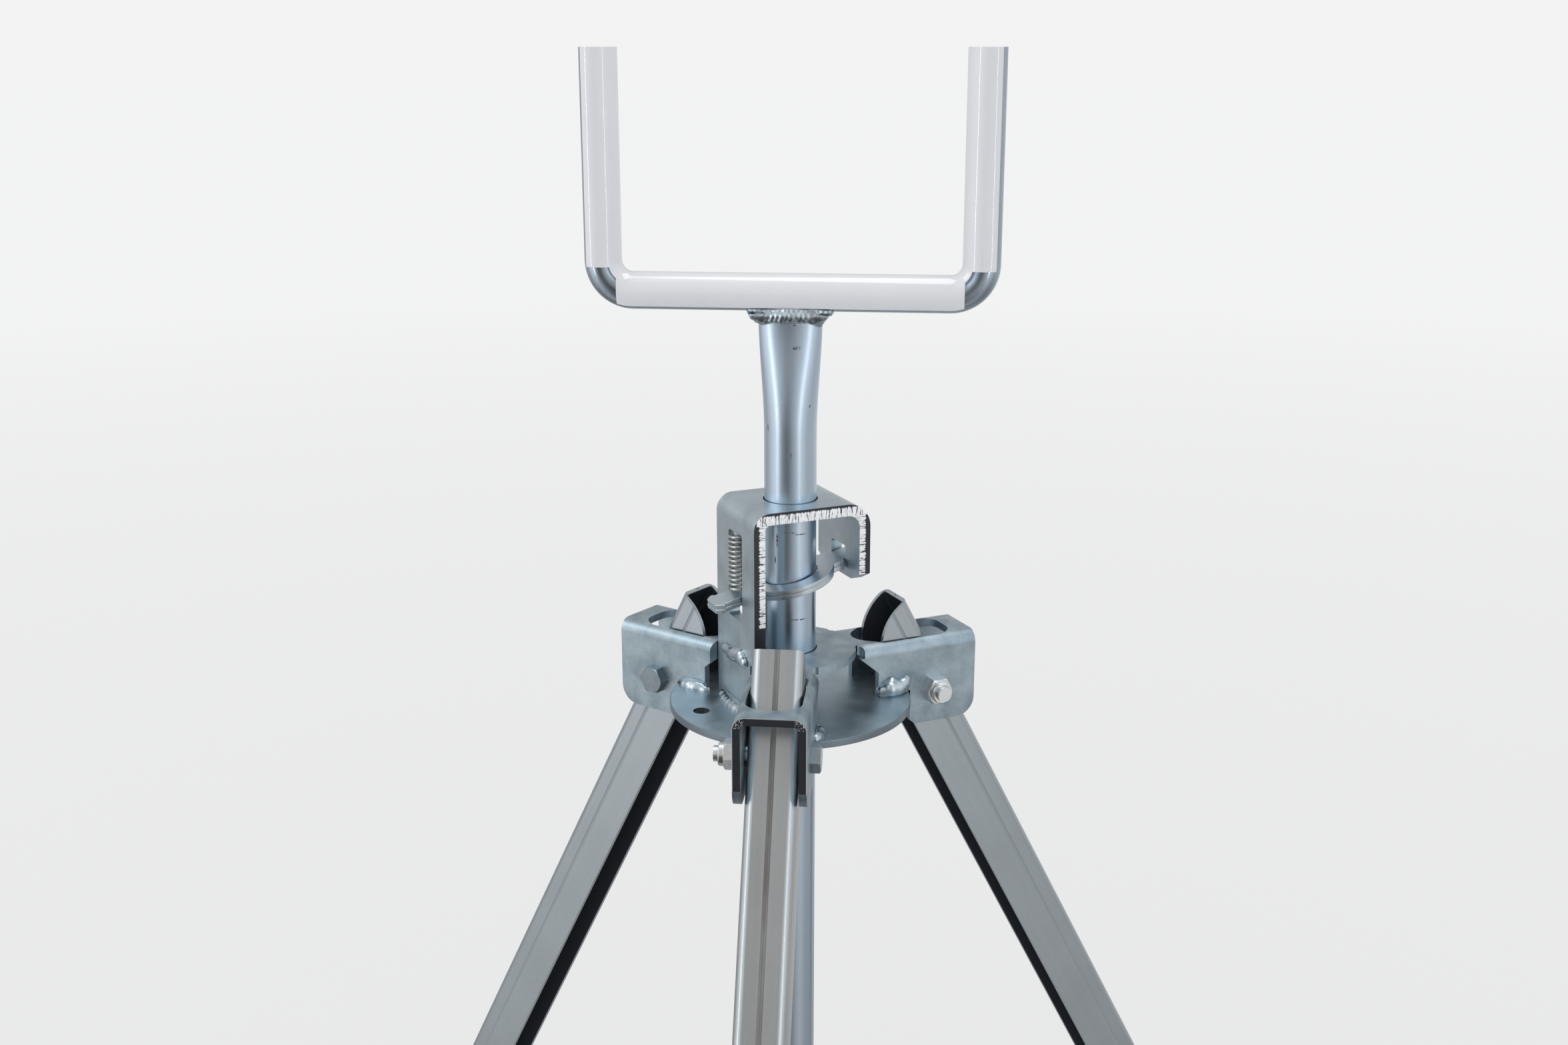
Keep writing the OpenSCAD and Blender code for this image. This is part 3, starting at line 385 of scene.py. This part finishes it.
# %% Details of the metal
def bracket_edge(made, spot, colour, high):
    """The two sides of the lock bracket are torn faces. Depth counts from its outer surface."""
    side, wall, tab = 30.75 * MM, 38.8 * MM, 42.4 * MM
    top_z, roof_z, torn_low = 136.5 * MM, 128.9 * MM, 62 * MM
    parts = add(made, "ShaderNodeSeparateXYZ", Vector=spot).outputs
    mask = maths(made, "GREATER_THAN", maths(made, "ABSOLUTE", parts["Y"]), side)
    depth = maths(made, "MINIMUM", maths(made, "SUBTRACT", wall, parts["X"]),
                  maths(made, "SUBTRACT", top_z, parts["Z"]))
    depth = maths(made, "MINIMUM", depth, maths(made, "ADD", parts["X"], tab))
    top = maths(made, "GREATER_THAN", parts["Z"], roof_z)
    along = maths(made, "ADD", maths(made, "MULTIPLY", parts["X"], top),
                  maths(made, "MULTIPLY", parts["Z"], maths(made, "SUBTRACT", 1.0, top)))
    # The dark lip is widest on the two upright walls
    lip = maths(made, "MULTIPLY", top, 1.8 * MM)
    # The torn part ends above the hub, where the cut is smooth and dark
    low = maths(made, "LESS_THAN", parts["Z"], torn_low)
    depth = maths(made, "SUBTRACT", maths(made, "ADD", depth, lip), maths(made, "MULTIPLY", low, 10 * MM))
    face = add(made, "ShaderNodeGroup", _node_tree=torn, Along=along, Depth=depth)
    ridges = maths(made, "MULTIPLY", maths(made, "MULTIPLY", face.outputs["Height"], mask), 6.0)
    return (blend_colours(made, mask, colour, face.outputs["Color"]), maths(made, "ADD", high, ridges),
            maths(made, "MULTIPLY", mask, 0.6))


def arm_cut_and_highlight(made, spot, colour, high):
    """The front arm's outer end is a smooth dark cut, with a painted highlight along its rim and painted
    glints near its folds.
    """
    arm_end, fold_x, fold_z = -127.97 * MM, 14.5 * MM, 27 * MM
    parts = add(made, "ShaderNodeSeparateXYZ", Vector=spot).outputs
    mask = maths(made, "LESS_THAN", parts["Y"], arm_end)
    # How far a point lies past the folds' centres, sideways and upward
    across = maths(made, "ABSOLUTE", parts["X"])
    side = maths(made, "MAXIMUM", maths(made, "SUBTRACT", across, fold_x), 0.0)
    rise = maths(made, "MAXIMUM", maths(made, "SUBTRACT", parts["Z"], fold_z), 0.0)
    bend = add(made, "ShaderNodeVectorMath", _operation="LENGTH",
               i0=add(made, "ShaderNodeCombineXYZ", X=side, Y=rise).outputs[0]).outputs["Value"]
    # Painted highlight: a thin bright line along the outer bend of each fold
    rim = spread(made, bend, 7.4 * MM, 7.8 * MM, 0.0, 0.8)
    # Painted glints: bright specks near the folds' corners
    painted_glint = maths(made, "MULTIPLY", spread(made, noise(made, spot, 1300.0), 0.56, 0.64),
                  spread(made, maths(made, "MINIMUM", side, rise), 0.3 * MM, 1.6 * MM))
    cut = blend_colours(made, maths(made, "MAXIMUM", rim, painted_glint), (0.035, 0.037, 0.042, 1), CUT_PAINTED_HIGHLIGHT)
    return blend_colours(made, mask, colour, cut), high, maths(made, "MULTIPLY", mask, 0.5)


def disc_painted_shade(made, spot, colour, high):
    """The disc's sheared rim is painted darker than its faces, a painted shade, and its small hole is painted
    dark inside, a painted shade.
    """
    disc_r, hole_x, hole_r = 80 * MM, 63.5 * MM, 5.5 * MM
    flat = stretched(made, spot, (1, 1, 0))
    radius = add(made, "ShaderNodeVectorMath", _operation="LENGTH", i0=flat).outputs["Value"]
    # Painted shade along the sheared rim
    rim = spread(made, radius, disc_r - 0.8 * MM, disc_r - 0.4 * MM)
    colour = blend_colours(made, rim, colour, (0.26, 0.31, 0.35, 1))
    centre = add(made, "ShaderNodeVectorMath", _operation="SUBTRACT", i0=flat, i1=(hole_x, 0, 0)).outputs[0]
    off = add(made, "ShaderNodeVectorMath", _operation="LENGTH", i0=centre).outputs["Value"]
    # Painted shade inside the small hole
    inside = maths(made, "LESS_THAN", off, hole_r)
    return blend_colours(made, inside, colour, HOLE_PAINTED_SHADE), high, inside


def leg_stain_and_shade(made, spot, colour, high):
    """A leg's channel is painted nearly black inside, a painted shade, and its middle groove holds a brown
    stain.
    """
    channel_half, channel_deep, groove_half = 13.3 * MM, 10.9 * MM, 1.6 * MM
    parts = add(made, "ShaderNodeSeparateXYZ", Vector=spot).outputs
    across = maths(made, "ABSOLUTE", parts["Y"])
    # Painted shade inside the channel
    inside = maths(made, "MULTIPLY", maths(made, "LESS_THAN", across, channel_half),
                   maths(made, "LESS_THAN", parts["X"], channel_deep))
    stain = maths(made, "MULTIPLY", spread(made, across, groove_half, groove_half + 0.4 * MM, 1.0, 0.0),
                  maths(made, "GREATER_THAN", parts["X"], channel_deep + 1.1 * MM))
    patchy = spread(made, noise(made, stretched(made, spot, (60, 60, 12)), 1.0), 0.35, 0.6, 0.7, 1.0)
    stain = maths(made, "MULTIPLY", stain, patchy)
    # The flanges' outer faces are darker and duller in a narrow band along their middle
    sides = maths(made, "MULTIPLY", maths(made, "GREATER_THAN", across, 14.5 * MM),
                  spread(made, maths(made, "ABSOLUTE", parts["X"]), 1.0 * MM, 1.6 * MM, 0.6, 0.0))
    colour = blend_colours(made, stain, colour, (0.15, 0.137, 0.127, 1))
    colour = blend_colours(made, sides, colour, (0.24, 0.27, 0.29, 1))
    dull = maths(made, "MAXIMUM", maths(made, "MAXIMUM", inside, sides), maths(made, "MULTIPLY", stain, 0.85))
    return blend_colours(made, inside, colour, CHANNEL_PAINTED_SHADE), high, dull


def bolt_thread(made, spot, colour, high):
    """The bolt's end is bright, and its thread shows past the nut."""
    nut_face, pitch = -26 * MM, 1.5 * MM
    parts = add(made, "ShaderNodeSeparateXYZ", Vector=spot).outputs
    thread = maths(made, "LESS_THAN", parts["Y"], nut_face)
    turns = maths(made, "SINE", maths(made, "MULTIPLY", parts["Y"], 2 * math.pi / pitch))
    high = maths(made, "ADD", high, maths(made, "MULTIPLY", maths(made, "MULTIPLY", turns, thread), 4.0))
    return blend_colours(made, thread, colour, (0.86, 0.88, 0.89, 1)), high, 0.0


def pole_marks(made, spot, colour, high):
    """Dark scuffs on the pole: two under the fork, and scratches where the lock plates slid."""
    parts = add(made, "ShaderNodeSeparateXYZ", Vector=spot).outputs
    worn = maths(made, "MULTIPLY", maths(made, "LESS_THAN", parts["Y"], 0.0),
                 spread(made, noise(made, spot, 900.0), 0.42, 0.52))
    marks = 0.0
    # Each scuff's place across the pole and above the disc, and its half width and half height
    for x, z, wide, tall in ((3.3, 250, 1.3, 0.8), (4.6, 236, 3.2, 1.7), (-7, 112, 0.8, 5),
                             (-8.2, 99, 0.6, 3), (1, 117.6, 5, 0.5), (8, 116.4, 4, 0.5), (5, 59, 8, 0.6),
                             (-13.2, 185, 0.6, 3), (13.3, 199, 0.7, 1.2), (2, 168, 0.5, 4)):
        off_x = maths(made, "ABSOLUTE", maths(made, "SUBTRACT", parts["X"], x * MM))
        off_z = maths(made, "ABSOLUTE", maths(made, "SUBTRACT", parts["Z"], DISC_Z + z * MM))
        mark = maths(made, "MULTIPLY", spread(made, off_x, 0.5 * wide * MM, wide * MM, 1.0, 0.0),
                     spread(made, off_z, 0.5 * tall * MM, tall * MM, 1.0, 0.0))
        marks = maths(made, "MAXIMUM", mark, marks)
    marks = maths(made, "MULTIPLY", marks, worn)
    return blend_colours(made, marks, colour, (0.05, 0.05, 0.05, 1)), high, marks


# %% Metal finishes
hub_place = (0, POLE_Y, DISC_Z)
lock_turn = (0, 0, LOCK_TURN)
disc_zinc = metal("disc_zinc", (0.54, 0.64, 0.69), (0.28, 0.36, 0.42), 0.30, 0.48, clouds=1.1, cloud_scale=34,
                  place=hub_place, turn=lock_turn, speck_scale=70, speck_share=0.06, stretch=(60, 60, 60),
                  detail=disc_painted_shade)
hub_zinc = metal("hub_zinc", (0.55, 0.64, 0.69), (0.23, 0.30, 0.35), 0.33, 0.52, clouds=1.1, cloud_scale=60,
                 place=hub_place, stretch=(70, 70, 70), detail=arm_cut_and_highlight, speck_share=0.05)
bracket_zinc = metal("bracket_zinc", (0.66, 0.74, 0.78), (0.40, 0.48, 0.52), 0.30, 0.48, clouds=0.8,
                     cloud_scale=45, place=hub_place, turn=lock_turn, detail=bracket_edge, speck_share=0.04,
                     stretch=(40, 300, 40))
plate_zinc = metal("plate_zinc", (0.74, 0.80, 0.84), (0.52, 0.59, 0.64), 0.28, 0.42, place=hub_place,
                   turn=lock_turn)
drawn_tube = dict(grain=0.15, clouds=0.3, cloud_scale=18, streaks=0.3, stretch=(420, 420, 4), bump=0.012,
                  speck_scale=55, speck_size=0.05, speck_share=0.07)
pole_zinc = metal("pole_zinc", (0.66, 0.76, 0.87), (0.50, 0.60, 0.71), 0.27, 0.33, place=(0, POLE_Y, 0),
                  detail=pole_marks, **drawn_tube)
fork_zinc = metal("fork_zinc", (0.62, 0.71, 0.80), (0.32, 0.39, 0.46), 0.16, 0.22, **drawn_tube)
bolt_light, bolt_dark = (0.38, 0.43, 0.46), (0.18, 0.22, 0.25)
bolt_plating = dict(smooth=0.16, rough=0.3, clouds=0.6, cloud_scale=160, streaks=0.0)
leg_zinc, bolt_zinc = {}, {}
for side, turn in ARM_TURNS.items():
    pivot = (PIVOT_R * math.cos(turn), POLE_Y + PIVOT_R * math.sin(turn), PIVOT_Z)
    light = (0.62, 0.64, 0.65) if side == "front" else (0.56, 0.62, 0.66)
    dark = tuple(0.72 * part for part in light)
    leg_zinc[side] = metal("leg_zinc_" + side, light, dark, 0.24, 0.36, grain=0.25,
                           clouds=0.4, cloud_scale=16, streaks=0.22, stretch=(240, 240, 3), bump=0.01,
                           place=pivot, turn=(0, -LEG_TILT, turn), speck_scale=45, speck_size=0.04,
                           speck_share=0.1, detail=leg_stain_and_shade)
    # The front bolt's head is painted brighter than the others, a painted highlight
    highlight_gain = 1.45 if side == "front" else 1.0
    bolt_zinc[side] = metal("bolt_zinc_" + side, [highlight_gain * part for part in bolt_light],
                            [highlight_gain * part for part in bolt_dark], place=pivot, turn=(0, 0, turn),
                            detail=bolt_thread, **bolt_plating)
weld_metal = metal("weld_metal", (0.68, 0.75, 0.79), (0.36, 0.42, 0.46), 0.14, 0.34, grain=0.2, clouds=0.9,
                   cloud_scale=150, streaks=0.0, speck_scale=260, speck_share=0.05)
pin_zinc = metal("pin_zinc", bolt_light, bolt_dark, **bolt_plating)
nut_zinc = metal("nut_zinc", (0.95, 0.96, 0.96), (0.65, 0.67, 0.68), 0.12, 0.24, clouds=0.7, cloud_scale=200,
                 streaks=0.0)
spring_zinc = metal("spring_zinc", (0.70, 0.70, 0.66), (0.42, 0.42, 0.39), 0.16, 0.3, clouds=0.5,
                    cloud_scale=120, streaks=0.0)
print("metal finishes", len([m for m in bpy.data.materials if "zinc" in m.name]))

# %% [markdown]
# The liner is extruded white plastic: glossy, with faint drawing lines along each run
# and a little grime. The feet and the pole's plug are black rubber with a dusty sheen.


# %% Plastic and rubber
def plastic(name, light, dark, smooth, rough, grain_scale, bump):
    """A moulded plastic with a fine uneven surface. Gives back its nodes as well."""
    paint, made, shader, spot = finish(name)
    tone = noise(made, spot, grain_scale, 4.0)
    colour = blend_colours(made, spread(made, tone, 0.3, 0.7), (*dark, 1), (*light, 1))
    made.links.new(colour, shader.inputs["Base Color"])
    made.links.new(spread(made, tone, 0.3, 0.7, smooth, rough), shader.inputs["Roughness"])
    made.links.new(add(made, "ShaderNodeBump", Strength=bump, Distance=0.001, Height=tone).outputs[0],
                   shader.inputs["Normal"])
    return paint, made, shader, spot, colour


white_plastic, made, shader, spot, colour = plastic("white_plastic", (0.75, 0.75, 0.76), (0.73, 0.73, 0.745),
                                                    0.10, 0.16, 60, 0.01)
# Thin brown scratches run along the arms above the bends, and along the bar below
bend_top = 0.8645
above = maths(made, "GREATER_THAN", add(made, "ShaderNodeSeparateXYZ", Vector=spot).outputs["Z"], bend_top)
up_lines, bar_lines = (noise(made, stretched(made, spot, scale), 1.0)
                       for scale in ((700, 700, 14), (14, 700, 700)))
rub = maths(made, "ADD", maths(made, "MULTIPLY", up_lines, above),
            maths(made, "MULTIPLY", bar_lines, maths(made, "SUBTRACT", 1.0, above)))
rub = maths(made, "MULTIPLY", spread(made, rub, 0.70, 0.76), 0.45)
shader.inputs["Coat Weight"].default_value = 1.0
shader.inputs["Coat Roughness"].default_value = 0.05
made.links.new(blend_colours(made, rub, colour, (0.45, 0.38, 0.30, 1)), shader.inputs["Base Color"])
black_rubber = plastic("black_rubber", (0.05, 0.05, 0.055), (0.02, 0.02, 0.022), 0.45, 0.7, 90, 0.12)[0]

# %% [markdown]
# ## Rounded edges
# Pressed and cut steel never has a razor edge. A copy of each plate is merged, its flat
# faces are joined, and a small bevel is applied, so each edge catches a thin line of
# light. The copy stands for the solid that it was made from.


# %% Dress a solid
def copy_solid(node, name):
    """A merged copy of one solid, with its flat triangles joined into faces."""
    pick(nodes[node])
    bpy.ops.object.duplicate()
    piece = bpy.context.object
    piece.name = piece.data.name = name
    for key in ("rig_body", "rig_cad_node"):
        if key in piece:
            del piece[key]
    piece.parent = None
    piece.data.materials.clear()
    pick(piece)
    bpy.ops.object.mode_set(mode="EDIT")
    bpy.ops.mesh.select_all(action="SELECT")
    bpy.ops.mesh.remove_doubles(threshold=0.000004)
    bpy.ops.mesh.dissolve_limited(angle_limit=math.radians(0.4))
    bpy.ops.object.mode_set(mode="OBJECT")
    return piece


def hand_over(piece, node, body, paint):
    """The finished piece gets its material and body, and stands for its solid."""
    if not piece.data.materials:
        piece.data.materials.append(paint)
    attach(piece, body)
    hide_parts(node)
    clear_selection()


def dress(node, name, body, paint, width, steps=2, smooth=35):
    """Bevels the sharp edges of a solid's copy."""
    piece = copy_solid(node, name)
    rim = piece.modifiers.new("rounded", "BEVEL")
    rim.width = width * MM
    rim.segments = steps
    rim.limit_method = "ANGLE"
    rim.angle_limit = math.radians(smooth)
    rim.use_clamp_overlap = True
    rim.miter_outer = "MITER_ARC"
    pick(piece)
    bpy.ops.object.modifier_apply(modifier=rim.name)
    bpy.ops.object.shade_smooth_by_angle(angle=math.radians(32))
    # Flat faces stay flat beside their rounded edges
    flat = piece.modifiers.new("flat_faces", "WEIGHTED_NORMAL")
    flat.keep_sharp = True
    bpy.ops.object.modifier_apply(modifier=flat.name)
    hand_over(piece, node, body, paint)
    return piece


for node, name, body, slot, paint, width in (
        ("base_disc", "hub_disc", "hub", "disc_zinc", disc_zinc, 0.5),
        ("spider", "folded_arms", "hub", "hub_zinc", hub_zinc, 0.5),
        ("lock_bracket", "lock_hoop", "hub", "bracket_zinc", bracket_zinc, 0.6),
        ("lock_plate_upper", "upper_lock_plate", "lever", "bracket_zinc", plate_zinc, 0.35),
        ("lock_plate_lower", "lower_lock_plate", "lever", "bracket_zinc", plate_zinc, 0.35),
        ("stop_washer", "big_washer", "slider", "fastener_zinc", pin_zinc, 0.3)):
    made_piece = dress(node, name, body, paint, width)
    print(name, len(made_piece.data.polygons), "faces")

# %% Legs, bolts and feet
for side in ARM_TURNS:
    body = side + "_leg"
    dress("leg_" + side, side + "_channel", body, leg_zinc[side], 0.35, smooth=50)
    dress("foot_" + side, side + "_rubber_foot", body, black_rubber, 1.0)
    dress("pivot_bolt_" + side, side + "_bolt", "hub", bolt_zinc[side], 0.25)
    dress("pivot_nut_" + side, side + "_nut", "hub", nut_zinc, 0.25)
    nodes["pivot_sleeve_" + side].data.materials.clear()
    nodes["pivot_sleeve_" + side].data.materials.append(pin_zinc)

# %% [markdown]
# ## Pole
# The pole's top end is squeezed flat for the weld. The solid has plain facets there. The
# real tube flows from round to oval, so a tall round tube is drawn and each of its rings
# is scaled: its width grows and its depth shrinks, slowly at first and at the end.

# %% Pole tube
pole_low, pole_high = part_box("pole")
flare_low = pole_high.z - 77 * MM
rings, ring_gap = 25, 3.2 * MM
tube_r, wall, flat_w, flat_d = 16.85 * MM, 3 * MM, 40.6 * MM, 20.5 * MM
clear_selection()
bpy.ops.mesh.primitive_cylinder_add(
    vertices=96, radius=tube_r, depth=pole_high.z - pole_low.z, end_fill_type="NOTHING",
    location=(0, POLE_Y, (pole_low.z + pole_high.z) / 2))
pole = bpy.context.object
pole.name = pole.data.name = "flared_pole"
bpy.ops.object.transform_apply(location=True)
bpy.ops.object.mode_set(mode="EDIT")
for i in range(rings):
    bpy.ops.mesh.select_all(action="SELECT")
    bpy.ops.mesh.bisect(plane_co=(0, POLE_Y, flare_low + i * ring_gap), plane_no=(0, 0, 1))
bpy.ops.mesh.select_all(action="SELECT")
bpy.ops.mesh.normals_make_consistent(inside=False)
bpy.ops.object.mode_set(mode="OBJECT")
for v in pole.data.vertices:
    share = max(0.0, (v.co.z - flare_low) / (pole_high.z - flare_low))
    share = share * share * (3 - 2 * share)
    v.co.x *= 1 + share * (flat_w / 2 / tube_r - 1)
    v.co.y = POLE_Y + (v.co.y - POLE_Y) * (1 + share * (flat_d / 2 / tube_r - 1))
skin = pole.modifiers.new("wall", "SOLIDIFY")
skin.thickness = wall
skin.offset = -1
pick(pole)
bpy.ops.object.modifier_apply(modifier="wall")
bpy.ops.object.shade_smooth_by_angle(angle=math.radians(35))
hand_over(pole, "pole", "head", pole_zinc)
print("pole faces", len(pole.data.polygons))

# %% Finishes of the solids that stay
for node, paint in (("fork", fork_zinc), ("fork_liner", white_plastic),
                    ("pole_end_plug", black_rubber), ("stop_pin", pin_zinc)):
    nodes[node].data.materials.clear()
    nodes[node].data.materials.append(paint)

# %% [markdown]
# ## Welds
# A weld bead is a row of frozen ripples with drops round it. The solids' beads are
# remeshed into small even faces, pushed in and out by a cloud texture and smoothed.


# %% Weld beads
def arm_point(side, out, across, up):
    """A point of an arm's frame, in millimetres, in the scene's frame."""
    c, s = math.cos(ARM_TURNS[side]), math.sin(ARM_TURNS[side])
    return Vector(((out * c - across * s) * MM, POLE_Y + (out * s + across * c) * MM, DISC_Z + up * MM))


def lock_point(x, y, z):
    """A point of the lock's frame, in millimetres, in the scene's frame."""
    c, s = math.cos(LOCK_TURN), math.sin(LOCK_TURN)
    return Vector(((x * c - y * s) * MM, POLE_Y + (x * s + y * c) * MM, DISC_Z + z * MM))


def weld(node, name, body, grain, push, ripple, rest, drops):
    """A lumpy bead made from the solid bead, with more drops of metal on it. Sizes are in millimetres."""
    piece = copy_solid(node, name)
    blobs = []
    for place, size in drops:
        bpy.ops.mesh.primitive_uv_sphere_add(segments=16, ring_count=10, radius=size * MM, location=place)
        blobs.append(bpy.context.object)
    pick(piece)
    for blob in blobs:
        blob.select_set(True)
    bpy.ops.object.join()
    remesh = piece.modifiers.new("even", "REMESH")
    remesh.mode = "VOXEL"
    remesh.voxel_size = grain * MM
    for size, strength in ((ripple, push), (ripple * 2.5, push * 1.6)):
        clouds = bpy.data.textures.new(name + "_lumps", "CLOUDS")
        clouds.noise_scale = size * MM
        shift = piece.modifiers.new("lumps", "DISPLACE")
        shift.texture = clouds
        shift.texture_coords = "LOCAL"
        shift.mid_level = 0.45
        shift.strength = strength * MM
    calm = piece.modifiers.new("calm", "SMOOTH")
    calm.factor = 0.5
    calm.iterations = rest
    for label in [m.name for m in piece.modifiers]:
        pick(piece)
        bpy.ops.object.modifier_apply(modifier=label)
    bpy.ops.object.shade_smooth()
    hand_over(piece, node, body, weld_metal)
    print(name, len(piece.data.polygons), "faces")


# The right arm's weld is a heap of drops. The other beads are broad and flat.
drops = [(arm_point("right", out, across, up), size) for out, across, up, size in (
    (57, -23.6, 2.5, 5.0), (62, -25.0, 4.0, 6.4), (67, -24.6, 4.0, 6.2), (72, -23.8, 6.0, 5.0),
    (75, -22.8, 8.5, 3.4), (64, -23.0, 9.0, 3.6))]
drops += [(arm_point("left", out, across, up), size) for out, across, up, size in (
    (56, 23.6, 0.0, 5.2), (60, 24.4, 0.0, 5.8), (64, 24.8, 0.0, 6.0), (68, 24.4, 0.0, 5.4),
    (52, 25.0, 0.0, 3.6))]
drops += [(arm_point("front", out, across, up), size) for out, across, up, size in (
    (60, 24.5, 0.5, 3.8), (68, 25.0, 0.2, 3.2), (74, 23.0, 1.0, 3.4), (66, 31.0, 0.0, 1.2))]
drops += [(lock_point(x, y, z), size) for x, y, z, size in (
    (38.2, 10, 38, 4.8), (38.2, 6, 37, 5.4), (38.2, 2, 36, 5.8), (38.2, -2, 35, 5.6), (38.2, -6, 34, 5.0),
    (41, 14, 0, 4.8), (41.5, 9, 0, 5.4), (41.5, 4, 0, 5.6), (41.5, -1, 0, 5.4), (41, -6, 0, 5.2),
    (41, -11, 0, 4.6))]
weld("hub_welds", "arm_weld_beads", "hub", 0.55, 0.5, 9.0, 60, drops)
# The fork's weld runs all round the pole's end: wide under the fork, narrow on the pole, with
# two lobes that hang down at the sides
fork_low = DISC_Z + 257.5 * MM
rows = ((24, 8.6, 0.17, 0.6, 3.3), (21, 10.6, 0.18, -2.2, 2.9), (18, 11.0, 0.17, -4.4, 2.1))
drops = [(Vector(((x + up / 2) * MM, POLE_Y + face * (deep - abs(x) * slant) * MM, fork_low + up * MM)), size)
         for reach, deep, slant, up, size in rows
         for x in range(-reach, reach + 1, 3) for face in (-1, 1)]
drops += [(Vector((x * MM, POLE_Y + y * MM, fork_low + up * MM)), size) for x, y, up, size in (
    (24.5, 0, 0.8, 3.2), (-24.5, 0, 0.8, 3.2), (18.5, -6.5, -6.6, 2.4), (-18.8, -6.0, -5.2, 2.2))]
weld("fork_weld", "fork_weld_bead", "head", 0.45, 0.9, 4.2, 16, drops)

# %% [markdown]
# ## Spring
# The solid spring has a six-sided wire. A real wire is round, so the same helix is
# drawn as a curve with a round section and turned into a mesh.


# %% Spring wire
spring_low, spring_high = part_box("lock_spring")
# In millimetres: the wire, the coil and the coil's distance from the pole's axis
wire, turns, steps, coil_r, coil_x = 1.8, 11.5, 24, 6.1, 36
z0, z1 = (spring_low.z - DISC_Z) / MM + wire / 2, (spring_high.z - DISC_Z) / MM - wire / 2
path = bpy.data.curves.new("spring_path", "CURVE")
path.dimensions = "3D"
path.bevel_depth = wire / 2 * MM
path.bevel_resolution = 4
path.use_fill_caps = True
line = path.splines.new("POLY")
count = int(turns * steps)
line.points.add(count)
for i in range(count + 1):
    angle = 2 * math.pi * i / steps
    point = lock_point(coil_x + coil_r * math.cos(angle), coil_r * math.sin(angle),
                       z0 + (z1 - z0) * i / count)
    line.points[i].co = (*point, 1)
spring = bpy.data.objects.new("coil_spring", path)
scene.collection.objects.link(spring)
pick(spring)
bpy.ops.object.convert(target="MESH")
spring = bpy.context.object
bpy.ops.object.shade_smooth()
hand_over(spring, "lock_spring", "hub", spring_zinc)
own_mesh(spring)
print("spring faces", len(spring.data.polygons))
